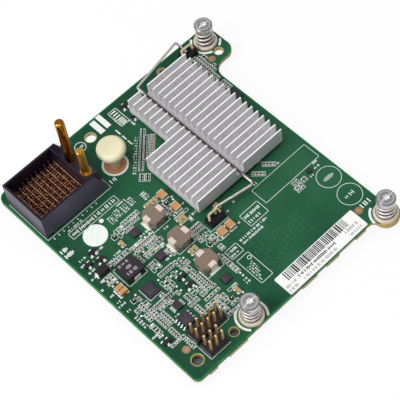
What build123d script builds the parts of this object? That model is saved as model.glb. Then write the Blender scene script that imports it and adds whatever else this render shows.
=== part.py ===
import os
from math import cos, radians, sin, sqrt
from build123d import *

os.makedirs("parts", exist_ok=True)

# Circuit board, in millimetres. Places on it are measured from its lower left corner,
# heights from its upper face.
BOARD_X = 86.2
BOARD_Y = 97.8
BOARD_THICK = 1.6
CORNER_NEAR = 2.2
CORNER_FAR = 3.2
EAR_REACH = 11.4
EAR_LONG = 15.4
EAR_X = BOARD_X + EAR_REACH
EAR_Y = BOARD_Y - EAR_LONG
EAR_ROUND = 4.0
EAR_CORNER = 3.0
EAR_INSIDE = 5.0
TAB_RADIUS = 4.7
TAB_INSIDE = 2.0
STUB_REACH = 0.45
STUB_SPANS = ((5.0, 8.4), (13.4, 21.4), (46.0, 52.6), (57.0, 62.6), (70.4, 75.0))

# Captive screws: where they stand, and the sizes of their pieces.
SCREW_PLACES = ((EAR_X - 5.1, BOARD_Y - 5.2), (27.7, 4.3), (BOARD_X - 2.6, -1.1))
SHANK_RADIUS = 1.45
HEAD_RADIUS = 3.25
HEAD_TALL = 2.0
HEAD_TOP = 9.8
COLLAR_RADIUS = 2.8
COLLAR_TALL = 0.8
HEAD_EDGE = 0.3
SLOT_WIDE = 0.9
SLOT_DEEP = 0.7
STAR_RADIUS = 1.35
STAR_DEEP = 1.3
STAR_POINTS = 6
FERRULE_RADIUS = 4.25
FERRULE_LIP = 0.55
FERRULE_CUP = 3.4
FERRULE_STEP = 1.1
BARREL_RADIUS = 3.0
FOOT_RADIUS = 3.7
FOOT_TALL = 0.8
FOOT_DROP = 2.0
RING_RADIUS = 2.2
RING_THICK = 0.5
SPRING_RADIUS = 2.75
SPRING_WIRE = 0.56
SPRING_TURNS = 3.2

# Clearances.
RUN_GAP = 0.07
LOOSE_GAP = 0.30
SEAT_GAP = 0.05
PRESS_GAP = 0.05

# The part lies on the screw ferrules, and its origin is the middle of its outline at that level.
TAB_X = SCREW_PLACES[2][0]
TAB_Y = SCREW_PLACES[2][1]
FLOOR = -BOARD_THICK - FOOT_DROP
MID_X = EAR_X / 2
MID_Y = (BOARD_Y + TAB_Y - TAB_RADIUS) / 2


def spot(x, y, z=0.0):
    return Plane(origin=(x - MID_X, y - MID_Y, z - FLOOR))


def upright(x, y, z=0.0):
    return Plane(origin=(x - MID_X, y - MID_Y, z - FLOOR), x_dir=(1, 0, 0), z_dir=(0, -1, 0))


# Plain holes in the board: x, y, radius.
TOOL_HOLES = (
    (5.4, 5.6, 1.95),
    (19.9, 4.2, 1.55),
    (37.6, BOARD_Y - 5.4, 1.95),
    (EAR_X - 4.9, BOARD_Y - 11.7, 1.6),
)

# Push knob.
KNOB_X = 36.1
KNOB_Y = 78.0
KNOB_STEM = 2.1
KNOB_CAP = 5.05
KNOB_UNDER = 8.0
KNOB_TOP = 11.3
KNOB_EDGE = 1.1
KNOB_ROUND = 1.6
KNOB_BARB = 3.0

# Pin headers: lower left pin, columns, rows.
PIN_PITCH = 2.54
PIN_WIDE = 0.64
PIN_TOP = 8.4
PIN_TAIL = 1.2
HEADER_TALL = 2.5
LONG_HEADER = (10.1, 10.1, 5, 2)
SHORT_HEADER = (10.1, 4.0, 3, 2)


def header_pins(first):
    places = []
    for column in range(first[2]):
        for row in range(first[3]):
            places.append((first[0] + column * PIN_PITCH, first[1] + row * PIN_PITCH))
    return places


LONG_PINS = header_pins(LONG_HEADER)
SHORT_PINS = header_pins(SHORT_HEADER)

# Board with its ear, its round tab and the broken-off stubs of its panel.
fillet_centre_x = TAB_X - sqrt((TAB_RADIUS + TAB_INSIDE) ** 2 - (TAB_Y + TAB_INSIDE) ** 2)
fillet_share = TAB_RADIUS / (TAB_RADIUS + TAB_INSIDE)
near_a = (fillet_centre_x, 0)
near_b = (
    TAB_X + fillet_share * (fillet_centre_x - TAB_X),
    TAB_Y + fillet_share * (-TAB_INSIDE - TAB_Y),
)
side_run = BOARD_X + TAB_INSIDE - TAB_X
side_centre_y = TAB_Y + sqrt((TAB_RADIUS + TAB_INSIDE) ** 2 - side_run**2)
side_a = (TAB_X + fillet_share * side_run, TAB_Y + fillet_share * (side_centre_y - TAB_Y))
side_b = (BOARD_X, side_centre_y)

with BuildPart() as circuit_board:
    with BuildSketch(spot(0, 0, -BOARD_THICK)) as board_face:
        with BuildLine():
            Line((CORNER_NEAR, 0), near_a)
            RadiusArc(near_a, near_b, TAB_INSIDE)
            ThreePointArc(near_b, (TAB_X, TAB_Y - TAB_RADIUS), side_a)
            RadiusArc(side_a, side_b, TAB_INSIDE)
            Line(side_b, (BOARD_X, EAR_Y - EAR_INSIDE))
            RadiusArc((BOARD_X, EAR_Y - EAR_INSIDE), (BOARD_X + EAR_INSIDE, EAR_Y), EAR_INSIDE)
            Line((BOARD_X + EAR_INSIDE, EAR_Y), (EAR_X - EAR_ROUND, EAR_Y))
            RadiusArc((EAR_X - EAR_ROUND, EAR_Y), (EAR_X, EAR_Y + EAR_ROUND), -EAR_ROUND)
            Line((EAR_X, EAR_Y + EAR_ROUND), (EAR_X, BOARD_Y - EAR_CORNER))
            RadiusArc((EAR_X, BOARD_Y - EAR_CORNER), (EAR_X - EAR_CORNER, BOARD_Y), -EAR_CORNER)
            Line((EAR_X - EAR_CORNER, BOARD_Y), (CORNER_FAR, BOARD_Y))
            RadiusArc((CORNER_FAR, BOARD_Y), (0, BOARD_Y - CORNER_FAR), -CORNER_FAR)
            Line((0, BOARD_Y - CORNER_FAR), (0, CORNER_NEAR))
            RadiusArc((0, CORNER_NEAR), (CORNER_NEAR, 0), -CORNER_NEAR)
        make_face()
        for start, end in STUB_SPANS:
            with Locations(((start + end) / 2, 0)):
                Rectangle(end - start, 2 * STUB_REACH)
        for hole_x, hole_y, hole_radius in TOOL_HOLES:
            with Locations((hole_x, hole_y)):
                Circle(hole_radius, mode=Mode.SUBTRACT)
        with Locations(*SCREW_PLACES):
            Circle(BARREL_RADIUS + PRESS_GAP, mode=Mode.SUBTRACT)
        with Locations((KNOB_X, KNOB_Y)):
            Circle(KNOB_STEM + PRESS_GAP, mode=Mode.SUBTRACT)
        with Locations(*(LONG_PINS + SHORT_PINS)):
            Circle(PIN_WIDE * 0.8, mode=Mode.SUBTRACT)
    extrude(amount=BOARD_THICK)
circuit_board.part.label = "circuit_board"
export_step(circuit_board.part, "parts/circuit_board.step")

# Paper label along the near edge.
LABEL_X = 59.05
LABEL_Y = 4.1
LABEL_LONG = 35.3
LABEL_WIDE = 7.8
LABEL_THICK = 0.12
LABEL_CORNER = 0.5
with BuildPart() as paper_label:
    with BuildSketch(spot(LABEL_X, LABEL_Y)):
        RectangleRounded(LABEL_LONG, LABEL_WIDE, LABEL_CORNER)
    extrude(amount=LABEL_THICK)
paper_label.part.label = "paper_label"
export_step(paper_label.part, "parts/paper_label.step")

# Controller chip and its thermal pad, under the heat sink.
CHIP_X = 65.5
CHIP_Y = 64.0
CHIP_WIDE = 24.0
CHIP_TALL = 1.9
CHIP_LID = 20.5
CHIP_BASE = 0.9
PAD_WIDE = 20.0
PAD_THICK = 0.3
with BuildPart() as controller_chip:
    with BuildSketch(spot(CHIP_X, CHIP_Y)):
        Rectangle(CHIP_WIDE, CHIP_WIDE)
    extrude(amount=CHIP_BASE)
    with BuildSketch(spot(CHIP_X, CHIP_Y, CHIP_BASE)):
        Rectangle(CHIP_LID, CHIP_LID)
    extrude(amount=CHIP_TALL - CHIP_BASE)
controller_chip.part.label = "controller_chip"
export_step(controller_chip.part, "parts/controller_chip.step")

with BuildPart() as thermal_pad:
    with BuildSketch(spot(CHIP_X, CHIP_Y, CHIP_TALL)):
        Rectangle(PAD_WIDE, PAD_WIDE)
    extrude(amount=PAD_THICK)
thermal_pad.part.label = "thermal_pad"
export_step(thermal_pad.part, "parts/thermal_pad.step")

# Extruded heat sink: an L in plan, straight fins, one groove across them for the clip.
SINK_LEFT = 41.65
SINK_STEP_X = 53.2
SINK_RIGHT = 80.1
SINK_NEAR = 42.1
SINK_BASE = 2.2
SINK_TOP = 8.9
FIN_COUNT = 18
LONG_FINS = 10
FIN_THICK = 0.45
FIN_PITCH = 2.72
GROOVE_X = 60.6
GROOVE_WIDE = 3.2
SINK_UNDER = CHIP_TALL + PAD_THICK
SINK_FLOOR = SINK_UNDER + SINK_BASE
SINK_FAR = SINK_NEAR + (FIN_COUNT - 1) * FIN_PITCH + FIN_THICK
SINK_STEP_Y = SINK_NEAR + (LONG_FINS - 1) * FIN_PITCH + FIN_THICK
with BuildPart() as heat_sink:
    with BuildSketch(spot(0, 0, SINK_UNDER)):
        with BuildLine():
            Polyline(
                (SINK_LEFT, SINK_NEAR),
                (SINK_RIGHT, SINK_NEAR),
                (SINK_RIGHT, SINK_FAR),
                (SINK_STEP_X, SINK_FAR),
                (SINK_STEP_X, SINK_STEP_Y),
                (SINK_LEFT, SINK_STEP_Y),
                close=True,
            )
        make_face()
    extrude(amount=SINK_BASE)
    groove_left = GROOVE_X - GROOVE_WIDE / 2
    groove_right = GROOVE_X + GROOVE_WIDE / 2
    with BuildSketch(spot(0, 0, SINK_FLOOR)):
        for fin in range(FIN_COUNT):
            fin_y = SINK_NEAR + fin * FIN_PITCH + FIN_THICK / 2
            fin_left = SINK_LEFT if fin < LONG_FINS else SINK_STEP_X
            with Locations(((fin_left + groove_left) / 2, fin_y)):
                Rectangle(groove_left - fin_left, FIN_THICK)
            with Locations(((groove_right + SINK_RIGHT) / 2, fin_y)):
                Rectangle(SINK_RIGHT - groove_right, FIN_THICK)
    extrude(amount=SINK_TOP - SINK_FLOOR)
heat_sink.part.label = "heat_sink"
export_step(heat_sink.part, "parts/heat_sink.step")

# Solder anchors: a black base with a wire staple each; the clip's ends catch under the staples.
ANCHOR_NEAR = (44.2, SINK_NEAR - 4.5)
ANCHOR_FAR = (83.9, SINK_FAR + 3.58)
ANCHOR_LONG = 6.4
ANCHOR_WIDE = 3.4
ANCHOR_TALL = 2.4
STAPLE_RADIUS = 0.45
STAPLE_TOP = 4.3
STAPLE_FOOT = 2.3
STAPLE_HEAD = 1.9
STAPLE_LEAN = 0.8
CLIP_RADIUS = 0.45
CLIP_END_Z = STAPLE_TOP - STAPLE_RADIUS - CLIP_RADIUS - 2 * SEAT_GAP


def point(x, y, z):
    return (x - MID_X, y - MID_Y, z - FLOOR)


for anchor_name, (anchor_x, anchor_y) in (("near", ANCHOR_NEAR), ("far", ANCHOR_FAR)):
    with BuildPart() as anchor_base:
        with BuildSketch(spot(anchor_x, anchor_y)):
            Rectangle(ANCHOR_LONG, ANCHOR_WIDE)
        extrude(amount=ANCHOR_TALL)
    anchor_base.part.label = "anchor_base_" + anchor_name
    export_step(anchor_base.part, "parts/anchor_base_" + anchor_name + ".step")

    staple_y = anchor_y + STAPLE_LEAN
    staple_points = (
        point(anchor_x - STAPLE_FOOT, anchor_y, ANCHOR_TALL),
        point(anchor_x - STAPLE_FOOT, anchor_y, ANCHOR_TALL + STAPLE_RADIUS),
        point(anchor_x - STAPLE_HEAD, staple_y, STAPLE_TOP),
        point(anchor_x + STAPLE_HEAD, staple_y, STAPLE_TOP),
        point(anchor_x + STAPLE_FOOT, anchor_y, ANCHOR_TALL + STAPLE_RADIUS),
        point(anchor_x + STAPLE_FOOT, anchor_y, ANCHOR_TALL),
    )
    with BuildPart() as anchor_staple:
        with BuildLine() as staple_line:
            Polyline(*staple_points)
        with BuildSketch(Plane(origin=staple_points[0], z_dir=(0, 0, 1))):
            Circle(STAPLE_RADIUS)
        sweep(path=staple_line.line, transition=Transition.ROUND)
    anchor_staple.part.label = "anchor_staple_" + anchor_name
    export_step(anchor_staple.part, "parts/anchor_staple_" + anchor_name + ".step")

# Wire clip: one bent round wire that lies in the groove and pulls up under both staples.
CLIP_Z = SINK_FLOOR + CLIP_RADIUS + SEAT_GAP
CLIP_BEND = 1.0
CLIP_NEAR_REACH = 6.2
CLIP_FAR_REACH = 4.0
CLIP_NEAR_Y = SINK_NEAR - CLIP_NEAR_REACH
CLIP_FAR_Y = SINK_FAR + CLIP_FAR_REACH
near_staple_y = ANCHOR_NEAR[1] + STAPLE_LEAN
far_staple_y = ANCHOR_FAR[1] + STAPLE_LEAN
clip_points = (
    point(ANCHOR_NEAR[0] + 0.5, near_staple_y - 0.9, CLIP_END_Z),
    point(ANCHOR_NEAR[0] + 1.3, near_staple_y + 1.2, CLIP_END_Z),
    point(GROOVE_X, CLIP_NEAR_Y, CLIP_Z),
    point(GROOVE_X, CLIP_FAR_Y, CLIP_Z),
    point(ANCHOR_FAR[0] - 1.6, far_staple_y + 2.9, STAPLE_TOP + 2.1),
    point(ANCHOR_FAR[0] - 0.6, far_staple_y + 0.9, CLIP_END_Z),
    point(ANCHOR_FAR[0] - 0.5, far_staple_y - 1.1, CLIP_END_Z),
)
clip_start = Vector(*clip_points[1]) - Vector(*clip_points[0])
with BuildPart() as sink_clip:
    with BuildLine() as clip_line:
        FilletPolyline(*clip_points, radius=CLIP_BEND)
    with BuildSketch(Plane(origin=clip_points[0], z_dir=clip_start)):
        Circle(CLIP_RADIUS)
    sweep(path=clip_line.line)
sink_clip.part.label = "sink_clip"
export_step(sink_clip.part, "parts/sink_clip.step")

# Stacking connector: open-topped box with a lower guide platform at its right end.
CON_LEFT = 1.35
CON_RIGHT = 28.5
CON_NEAR = 73.0
CON_FAR = 92.9
CON_TOP = 11.4
CON_WALL = 0.8
CON_FLOOR = 3.0
CON_SILL = 1.8
CON_BOX_RIGHT = 22.2
CON_SHOULDER = 23.9
PLATFORM_TOP = 5.8
PLATFORM_NEAR = 77.2
BOSS_TALL = 0.5
BOSS_RADIUS = 2.3
FOOT_SLOTS = 5
FOOT_SLOT_LONG = 3.1
FOOT_SLOT_TALL = 0.75
FOOT_SLOT_PITCH = 3.9
LONG_PIN_PLACE = (25.0, 86.6)
SHORT_PIN_PLACE = (25.5, 79.6)
con_mid_x = (CON_LEFT + CON_RIGHT) / 2
con_mid_y = (CON_NEAR + CON_FAR) / 2
with BuildPart() as connector_housing:
    with BuildSketch(spot(con_mid_x, con_mid_y)):
        Rectangle(CON_RIGHT - CON_LEFT, CON_FAR - CON_NEAR)
    extrude(amount=CON_SILL)
    with BuildSketch(spot((CON_LEFT + CON_BOX_RIGHT) / 2, con_mid_y, CON_SILL)):
        Rectangle(CON_BOX_RIGHT - CON_LEFT, CON_FAR - CON_NEAR)
    extrude(amount=CON_FLOOR - CON_SILL)
    with BuildSketch(spot((CON_LEFT + CON_BOX_RIGHT) / 2, con_mid_y, CON_FLOOR)):
        Rectangle(CON_BOX_RIGHT - CON_LEFT, CON_FAR - CON_NEAR)
        well_x = CON_BOX_RIGHT - CON_LEFT - 2 * CON_WALL
        well_y = CON_FAR - CON_NEAR - 2 * CON_WALL
        Rectangle(well_x, well_y, mode=Mode.SUBTRACT)
    extrude(amount=CON_TOP - CON_FLOOR)
    for wall_face in (CON_NEAR + CON_WALL, CON_FAR):
        with BuildSketch(upright(0, wall_face)):
            with BuildLine():
                Polyline(
                    (CON_BOX_RIGHT - CON_WALL, CON_SILL),
                    (CON_RIGHT, CON_SILL),
                    (CON_SHOULDER, CON_TOP),
                    (CON_BOX_RIGHT - CON_WALL, CON_TOP),
                    close=True,
                )
            make_face()
        extrude(amount=CON_WALL)
    platform_far = CON_FAR - CON_WALL
    platform_x = (CON_BOX_RIGHT + CON_RIGHT) / 2
    with BuildSketch(spot(platform_x, (PLATFORM_NEAR + platform_far) / 2, CON_SILL)):
        Rectangle(CON_RIGHT - CON_BOX_RIGHT, platform_far - PLATFORM_NEAR)
    extrude(amount=PLATFORM_TOP - CON_SILL)
    with BuildSketch(spot(*LONG_PIN_PLACE, PLATFORM_TOP)):
        Circle(BOSS_RADIUS)
    extrude(amount=BOSS_TALL)
    with BuildSketch(upright(CON_LEFT, CON_NEAR)):
        for slot in range(FOOT_SLOTS):
            with Locations((0.6 + slot * FOOT_SLOT_PITCH + FOOT_SLOT_LONG / 2, FOOT_SLOT_TALL / 2)):
                Rectangle(FOOT_SLOT_LONG, FOOT_SLOT_TALL)
    extrude(amount=-CON_WALL, mode=Mode.SUBTRACT)
connector_housing.part.label = "connector_housing"
export_step(connector_housing.part, "parts/connector_housing.step")

# Contacts of the connector: ten long ground blades and a field of signal contacts.
COLUMN_COUNT = 10
COLUMN_PITCH = 1.88
COLUMN_FIRST = 4.0
BLADE_THICK = 0.28
BLADE_TALL = 2.6
BLADE_NEAR = 74.6
BLADE_FAR = 91.4
ROW_COUNT = 13
ROW_PITCH = 1.27
ROW_FIRST = 75.3
CONTACT_WIDE = 0.5
CONTACT_TALL = 2.2
CONTACT_SHIFT = 0.78
with BuildPart() as ground_blades:
    with BuildSketch(spot(0, 0, CON_FLOOR)):
        for column in range(COLUMN_COUNT):
            with Locations((COLUMN_FIRST + column * COLUMN_PITCH, (BLADE_NEAR + BLADE_FAR) / 2)):
                Rectangle(BLADE_THICK, BLADE_FAR - BLADE_NEAR)
    extrude(amount=BLADE_TALL)
ground_blades.part.label = "ground_blades"
export_step(ground_blades.part, "parts/ground_blades.step")

with BuildPart() as signal_contacts:
    with BuildSketch(spot(0, 0, CON_FLOOR)):
        for column in range(COLUMN_COUNT - 1):
            for row in range(ROW_COUNT):
                contact_x = COLUMN_FIRST + column * COLUMN_PITCH + CONTACT_SHIFT
                with Locations((contact_x, ROW_FIRST + row * ROW_PITCH)):
                    Rectangle(CONTACT_WIDE, CONTACT_WIDE)
    extrude(amount=CONTACT_TALL)
signal_contacts.part.label = "signal_contacts"
export_step(signal_contacts.part, "parts/signal_contacts.step")

# Guide pins, turned and gold plated.
LONG_PIN_RADIUS = 1.65
LONG_PIN_TOP = 29.0
LONG_PIN_TIP = 0.55
SHORT_PIN_RADIUS = 1.4
SHORT_PIN_TOP = 18.9
SHORT_PIN_TIP = 0.3
SHORT_FLANGE_RADIUS = 2.15
SHORT_FLANGE_TALL = 0.9
with BuildPart() as guide_pin_long:
    with BuildSketch(upright(*LONG_PIN_PLACE)):
        with BuildLine():
            Polyline(
                (0, PLATFORM_TOP + BOSS_TALL),
                (LONG_PIN_RADIUS, PLATFORM_TOP + BOSS_TALL),
                (LONG_PIN_RADIUS, LONG_PIN_TOP - LONG_PIN_TIP),
                (LONG_PIN_RADIUS - LONG_PIN_TIP, LONG_PIN_TOP),
                (0, LONG_PIN_TOP),
                close=True,
            )
        make_face()
    revolve(axis=Axis(point(*LONG_PIN_PLACE, 0), (0, 0, 1)))
guide_pin_long.part.label = "guide_pin_long"
export_step(guide_pin_long.part, "parts/guide_pin_long.step")

with BuildPart() as guide_pin_short:
    with BuildSketch(upright(*SHORT_PIN_PLACE)):
        with BuildLine():
            Polyline(
                (0, PLATFORM_TOP),
                (SHORT_FLANGE_RADIUS, PLATFORM_TOP),
                (SHORT_FLANGE_RADIUS, PLATFORM_TOP + SHORT_FLANGE_TALL),
                (SHORT_PIN_RADIUS, PLATFORM_TOP + SHORT_FLANGE_TALL),
                (SHORT_PIN_RADIUS, SHORT_PIN_TOP - SHORT_PIN_TIP),
                (SHORT_PIN_RADIUS - SHORT_PIN_TIP, SHORT_PIN_TOP),
                (0, SHORT_PIN_TOP),
                close=True,
            )
        make_face()
    revolve(axis=Axis(point(*SHORT_PIN_PLACE, 0), (0, 0, 1)))
guide_pin_short.part.label = "guide_pin_short"
export_step(guide_pin_short.part, "parts/guide_pin_short.step")

# Push knob: moulded stem and domed cap, snapped through the board.
with BuildPart() as push_knob:
    with BuildSketch(upright(KNOB_X, KNOB_Y)):
        with BuildLine():
            Polyline(
                (KNOB_CAP - KNOB_ROUND, KNOB_TOP),
                (0, KNOB_TOP),
                (0, FLOOR),
                (KNOB_STEM, FLOOR),
                (KNOB_BARB, -BOARD_THICK - SEAT_GAP),
                (KNOB_STEM, -BOARD_THICK - SEAT_GAP),
                (KNOB_STEM, KNOB_UNDER),
                (KNOB_CAP - KNOB_EDGE, KNOB_UNDER),
                (KNOB_CAP, KNOB_UNDER + KNOB_EDGE),
                (KNOB_CAP, KNOB_TOP - KNOB_ROUND),
            )
            RadiusArc((KNOB_CAP, KNOB_TOP - KNOB_ROUND), (KNOB_CAP - KNOB_ROUND, KNOB_TOP), -KNOB_ROUND)
        make_face()
    revolve(axis=Axis(point(KNOB_X, KNOB_Y, 0), (0, 0, 1)))
push_knob.part.label = "push_knob"
export_step(push_knob.part, "parts/push_knob.step")

# Captive screws: ferrule in the board, coil spring, screw, and the ring that holds the screw in.
ring_top = -BOARD_THICK - SEAT_GAP
ring_low = ring_top - RING_THICK
collar_low = HEAD_TOP - HEAD_TALL - COLLAR_TALL
for number, place in enumerate(SCREW_PLACES, start=1):
    screw_axis = Axis(point(*place, 0), (0, 0, 1))
    with BuildPart() as screw_ferrule:
        with BuildSketch(upright(*place)):
            with BuildLine():
                Polyline(
                    (SHANK_RADIUS + RUN_GAP, FERRULE_LIP),
                    (FERRULE_CUP, FERRULE_LIP),
                    (FERRULE_CUP, FERRULE_STEP),
                    (FERRULE_CUP + 0.4, FERRULE_STEP),
                    (FERRULE_RADIUS, FERRULE_LIP),
                    (FERRULE_RADIUS, 0),
                    (BARREL_RADIUS, 0),
                    (BARREL_RADIUS, FLOOR + FOOT_TALL),
                    (FOOT_RADIUS, FLOOR + FOOT_TALL),
                    (FOOT_RADIUS, FLOOR),
                    (RING_RADIUS + LOOSE_GAP, FLOOR),
                    (RING_RADIUS + LOOSE_GAP, -BOARD_THICK),
                    (SHANK_RADIUS + RUN_GAP, -BOARD_THICK),
                    close=True,
                )
            make_face()
        revolve(axis=screw_axis)
    screw_ferrule.part.label = "screw_ferrule_" + str(number)
    export_step(screw_ferrule.part, "parts/screw_ferrule_" + str(number) + ".step")

    with BuildPart() as screw_ring:
        with BuildSketch(spot(*place, ring_low)):
            Circle(RING_RADIUS)
            Circle(SHANK_RADIUS - LOOSE_GAP + RUN_GAP, mode=Mode.SUBTRACT)
        extrude(amount=RING_THICK)
    screw_ring.part.label = "screw_ring_" + str(number)
    export_step(screw_ring.part, "parts/screw_ring_" + str(number) + ".step")

    spring_foot = FERRULE_LIP + SPRING_WIRE / 2 + SEAT_GAP
    spring_rise = collar_low - SEAT_GAP - SPRING_WIRE / 2 - spring_foot
    spring_pitch = spring_rise / SPRING_TURNS
    with BuildPart() as screw_spring:
        with BuildLine() as coil_line:
            Helix(
                pitch=spring_pitch,
                height=spring_rise,
                radius=SPRING_RADIUS,
                center=point(*place, spring_foot),
            )
        with BuildSketch(Plane(origin=coil_line.line @ 0, z_dir=coil_line.line % 0, x_dir=(1, 0, 0))):
            Rectangle(SPRING_WIRE, SPRING_WIRE)
        sweep(path=coil_line.line, is_frenet=True)
    screw_spring.part.label = "screw_spring_" + str(number)
    export_step(screw_spring.part, "parts/screw_spring_" + str(number) + ".step")

    with BuildPart() as captive_screw:
        with BuildSketch(upright(*place)):
            with BuildLine():
                Polyline(
                    (0, ring_low - 0.9),
                    (SHANK_RADIUS - 0.4, ring_low - 0.9),
                    (SHANK_RADIUS, ring_low - 0.5),
                    (SHANK_RADIUS, ring_low - SEAT_GAP),
                    (SHANK_RADIUS - LOOSE_GAP, ring_low - SEAT_GAP),
                    (SHANK_RADIUS - LOOSE_GAP, ring_top + SEAT_GAP),
                    (SHANK_RADIUS, ring_top + SEAT_GAP),
                    (SHANK_RADIUS, collar_low),
                    (COLLAR_RADIUS, collar_low),
                    (COLLAR_RADIUS, collar_low + COLLAR_TALL),
                    (HEAD_RADIUS, collar_low + COLLAR_TALL),
                    (HEAD_RADIUS, HEAD_TOP - HEAD_EDGE),
                    (HEAD_RADIUS - HEAD_EDGE, HEAD_TOP),
                    (0, HEAD_TOP),
                    close=True,
                )
            make_face()
        revolve(axis=screw_axis)
        with BuildSketch(spot(*place, HEAD_TOP)):
            Rectangle(2.2 * HEAD_RADIUS, SLOT_WIDE)
        extrude(amount=-SLOT_DEEP, mode=Mode.SUBTRACT)
        with BuildSketch(spot(*place, HEAD_TOP)):
            RegularPolygon(STAR_RADIUS, STAR_POINTS // 2)
            RegularPolygon(STAR_RADIUS, STAR_POINTS // 2, rotation=360 / STAR_POINTS)
        extrude(amount=-STAR_DEEP, mode=Mode.SUBTRACT)
    captive_screw.part.label = "captive_screw_" + str(number)
    export_step(captive_screw.part, "parts/captive_screw_" + str(number) + ".step")

# Pin headers: black strip and square gold pins through the board.
for header_name, first, pins in (("long", LONG_HEADER, LONG_PINS), ("short", SHORT_HEADER, SHORT_PINS)):
    strip_x = first[0] + (first[2] - 1) * PIN_PITCH / 2
    strip_y = first[1] + (first[3] - 1) * PIN_PITCH / 2
    with BuildPart() as header_strip:
        with BuildSketch(spot(strip_x, strip_y)):
            Rectangle(first[2] * PIN_PITCH, first[3] * PIN_PITCH - 2 * SEAT_GAP)
        extrude(amount=HEADER_TALL)
        with BuildSketch(spot(0, 0)):
            with Locations(*pins):
                Rectangle(PIN_WIDE, PIN_WIDE)
        extrude(amount=HEADER_TALL, mode=Mode.SUBTRACT)
    header_strip.part.label = "header_strip_" + header_name
    export_step(header_strip.part, "parts/header_strip_" + header_name + ".step")

    with BuildPart() as header_pin_set:
        with BuildSketch(spot(0, 0, -BOARD_THICK - PIN_TAIL)):
            with Locations(*pins):
                Rectangle(PIN_WIDE, PIN_WIDE)
        extrude(amount=BOARD_THICK + PIN_TAIL + PIN_TOP)
    header_pin_set.part.label = "header_pins_" + header_name
    export_step(header_pin_set.part, "parts/header_pins_" + header_name + ".step")

# Power inductors: pressed block with cut corners, two folded terminals each.
# Third value: 0 for terminals left and right, 90 for terminals near and far.
INDUCTORS = ((30.6, 52.5, 0), (30.7, 40.4, 0), (30.9, 27.7, 90))
INDUCTOR_WIDE = 6.8
INDUCTOR_TALL = 3.6
INDUCTOR_CUT = 1.5
TERMINAL_WIDE = 2.6
TERMINAL_THICK = 0.25
TERMINAL_FOLD = 1.4
for number, (coil_x, coil_y, turn) in enumerate(INDUCTORS, start=1):
    with BuildPart() as inductor:
        with BuildSketch(spot(coil_x, coil_y, TERMINAL_THICK)) as block_face:
            Rectangle(INDUCTOR_WIDE, INDUCTOR_WIDE)
            chamfer(block_face.vertices(), INDUCTOR_CUT)
        extrude(amount=INDUCTOR_TALL - TERMINAL_THICK)
    inductor.part.label = "inductor_" + str(number)
    export_step(inductor.part, "parts/inductor_" + str(number) + ".step")

with BuildPart() as inductor_terminals:
    for coil_x, coil_y, turn in INDUCTORS:
        for side in (-1, 1):
            along = (1, 0, 0) if turn == 0 else (0, 1, 0)
            across = (0, -side, 0) if turn == 0 else (side, 0, 0)
            seat = point(coil_x, coil_y, 0)
            with BuildSketch(Plane(origin=seat, x_dir=[side * v for v in along], z_dir=across)) as fold:
                inner = INDUCTOR_WIDE / 2
                outer = inner + TERMINAL_THICK
                with BuildLine():
                    Polyline(
                        (inner - TERMINAL_FOLD, 0),
                        (outer, 0),
                        (outer, INDUCTOR_TALL + TERMINAL_THICK),
                        (inner - TERMINAL_FOLD, INDUCTOR_TALL + TERMINAL_THICK),
                        (inner - TERMINAL_FOLD, INDUCTOR_TALL),
                        (inner, INDUCTOR_TALL),
                        (inner, TERMINAL_THICK),
                        (inner - TERMINAL_FOLD, TERMINAL_THICK),
                        close=True,
                    )
                make_face()
            extrude(amount=TERMINAL_WIDE / 2, both=True)
inductor_terminals.part.label = "inductor_terminals"
export_step(inductor_terminals.part, "parts/inductor_terminals.step")

# Power chip: black moulded choke with softened corners, one flat terminal up its near and far faces.
CHOKE_X = 12.1
CHOKE_Y = 43.95
CHOKE_WIDE = 6.9
CHOKE_LONG = 7.0
CHOKE_TALL = 3.0
CHOKE_CUT = 0.45
CHOKE_TAB_WIDE = 2.6
CHOKE_TAB_TALL = 1.6
CHOKE_TAB_THICK = 0.25
with BuildPart() as power_chip:
    with BuildSketch(spot(CHOKE_X, CHOKE_Y)) as choke_face:
        Rectangle(CHOKE_WIDE, CHOKE_LONG)
        chamfer(choke_face.vertices(), CHOKE_CUT)
    extrude(amount=CHOKE_TALL)
power_chip.part.label = "power_chip"
export_step(power_chip.part, "parts/power_chip.step")

with BuildPart() as power_chip_ends:
    with BuildSketch(spot(CHOKE_X, CHOKE_Y)):
        tab_shift = (CHOKE_LONG + CHOKE_TAB_THICK) / 2
        with Locations((0, -tab_shift), (0, tab_shift)):
            Rectangle(CHOKE_TAB_WIDE, CHOKE_TAB_THICK)
    extrude(amount=CHOKE_TAB_TALL)
power_chip_ends.part.label = "power_chip_ends"
export_step(power_chip_ends.part, "parts/power_chip_ends.step")

# Flat chips without leads.
MEMORY_CHIP_X = 11.7
MEMORY_CHIP_Y = 34.1
MEMORY_CHIP_WIDE = 4.2
MEMORY_CHIP_LONG = 5.0
MEMORY_CHIP_TALL = 0.8
with BuildPart() as memory_chip:
    with BuildSketch(spot(MEMORY_CHIP_X, MEMORY_CHIP_Y)):
        Rectangle(MEMORY_CHIP_WIDE, MEMORY_CHIP_LONG)
    extrude(amount=MEMORY_CHIP_TALL)
memory_chip.part.label = "memory_chip"
export_step(memory_chip.part, "parts/memory_chip.step")

SQUARE_CHIPS = ((22.5, 53.3), (22.5, 40.8), (31.1, 19.4))
SQUARE_CHIP_WIDE = 3.1
SQUARE_CHIP_TALL = 0.8
with BuildPart() as square_chips:
    with BuildSketch(spot(0, 0)):
        with Locations(*SQUARE_CHIPS):
            Rectangle(SQUARE_CHIP_WIDE, SQUARE_CHIP_WIDE)
    extrude(amount=SQUARE_CHIP_TALL)
square_chips.part.label = "square_chips"
export_step(square_chips.part, "parts/square_chips.step")

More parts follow.
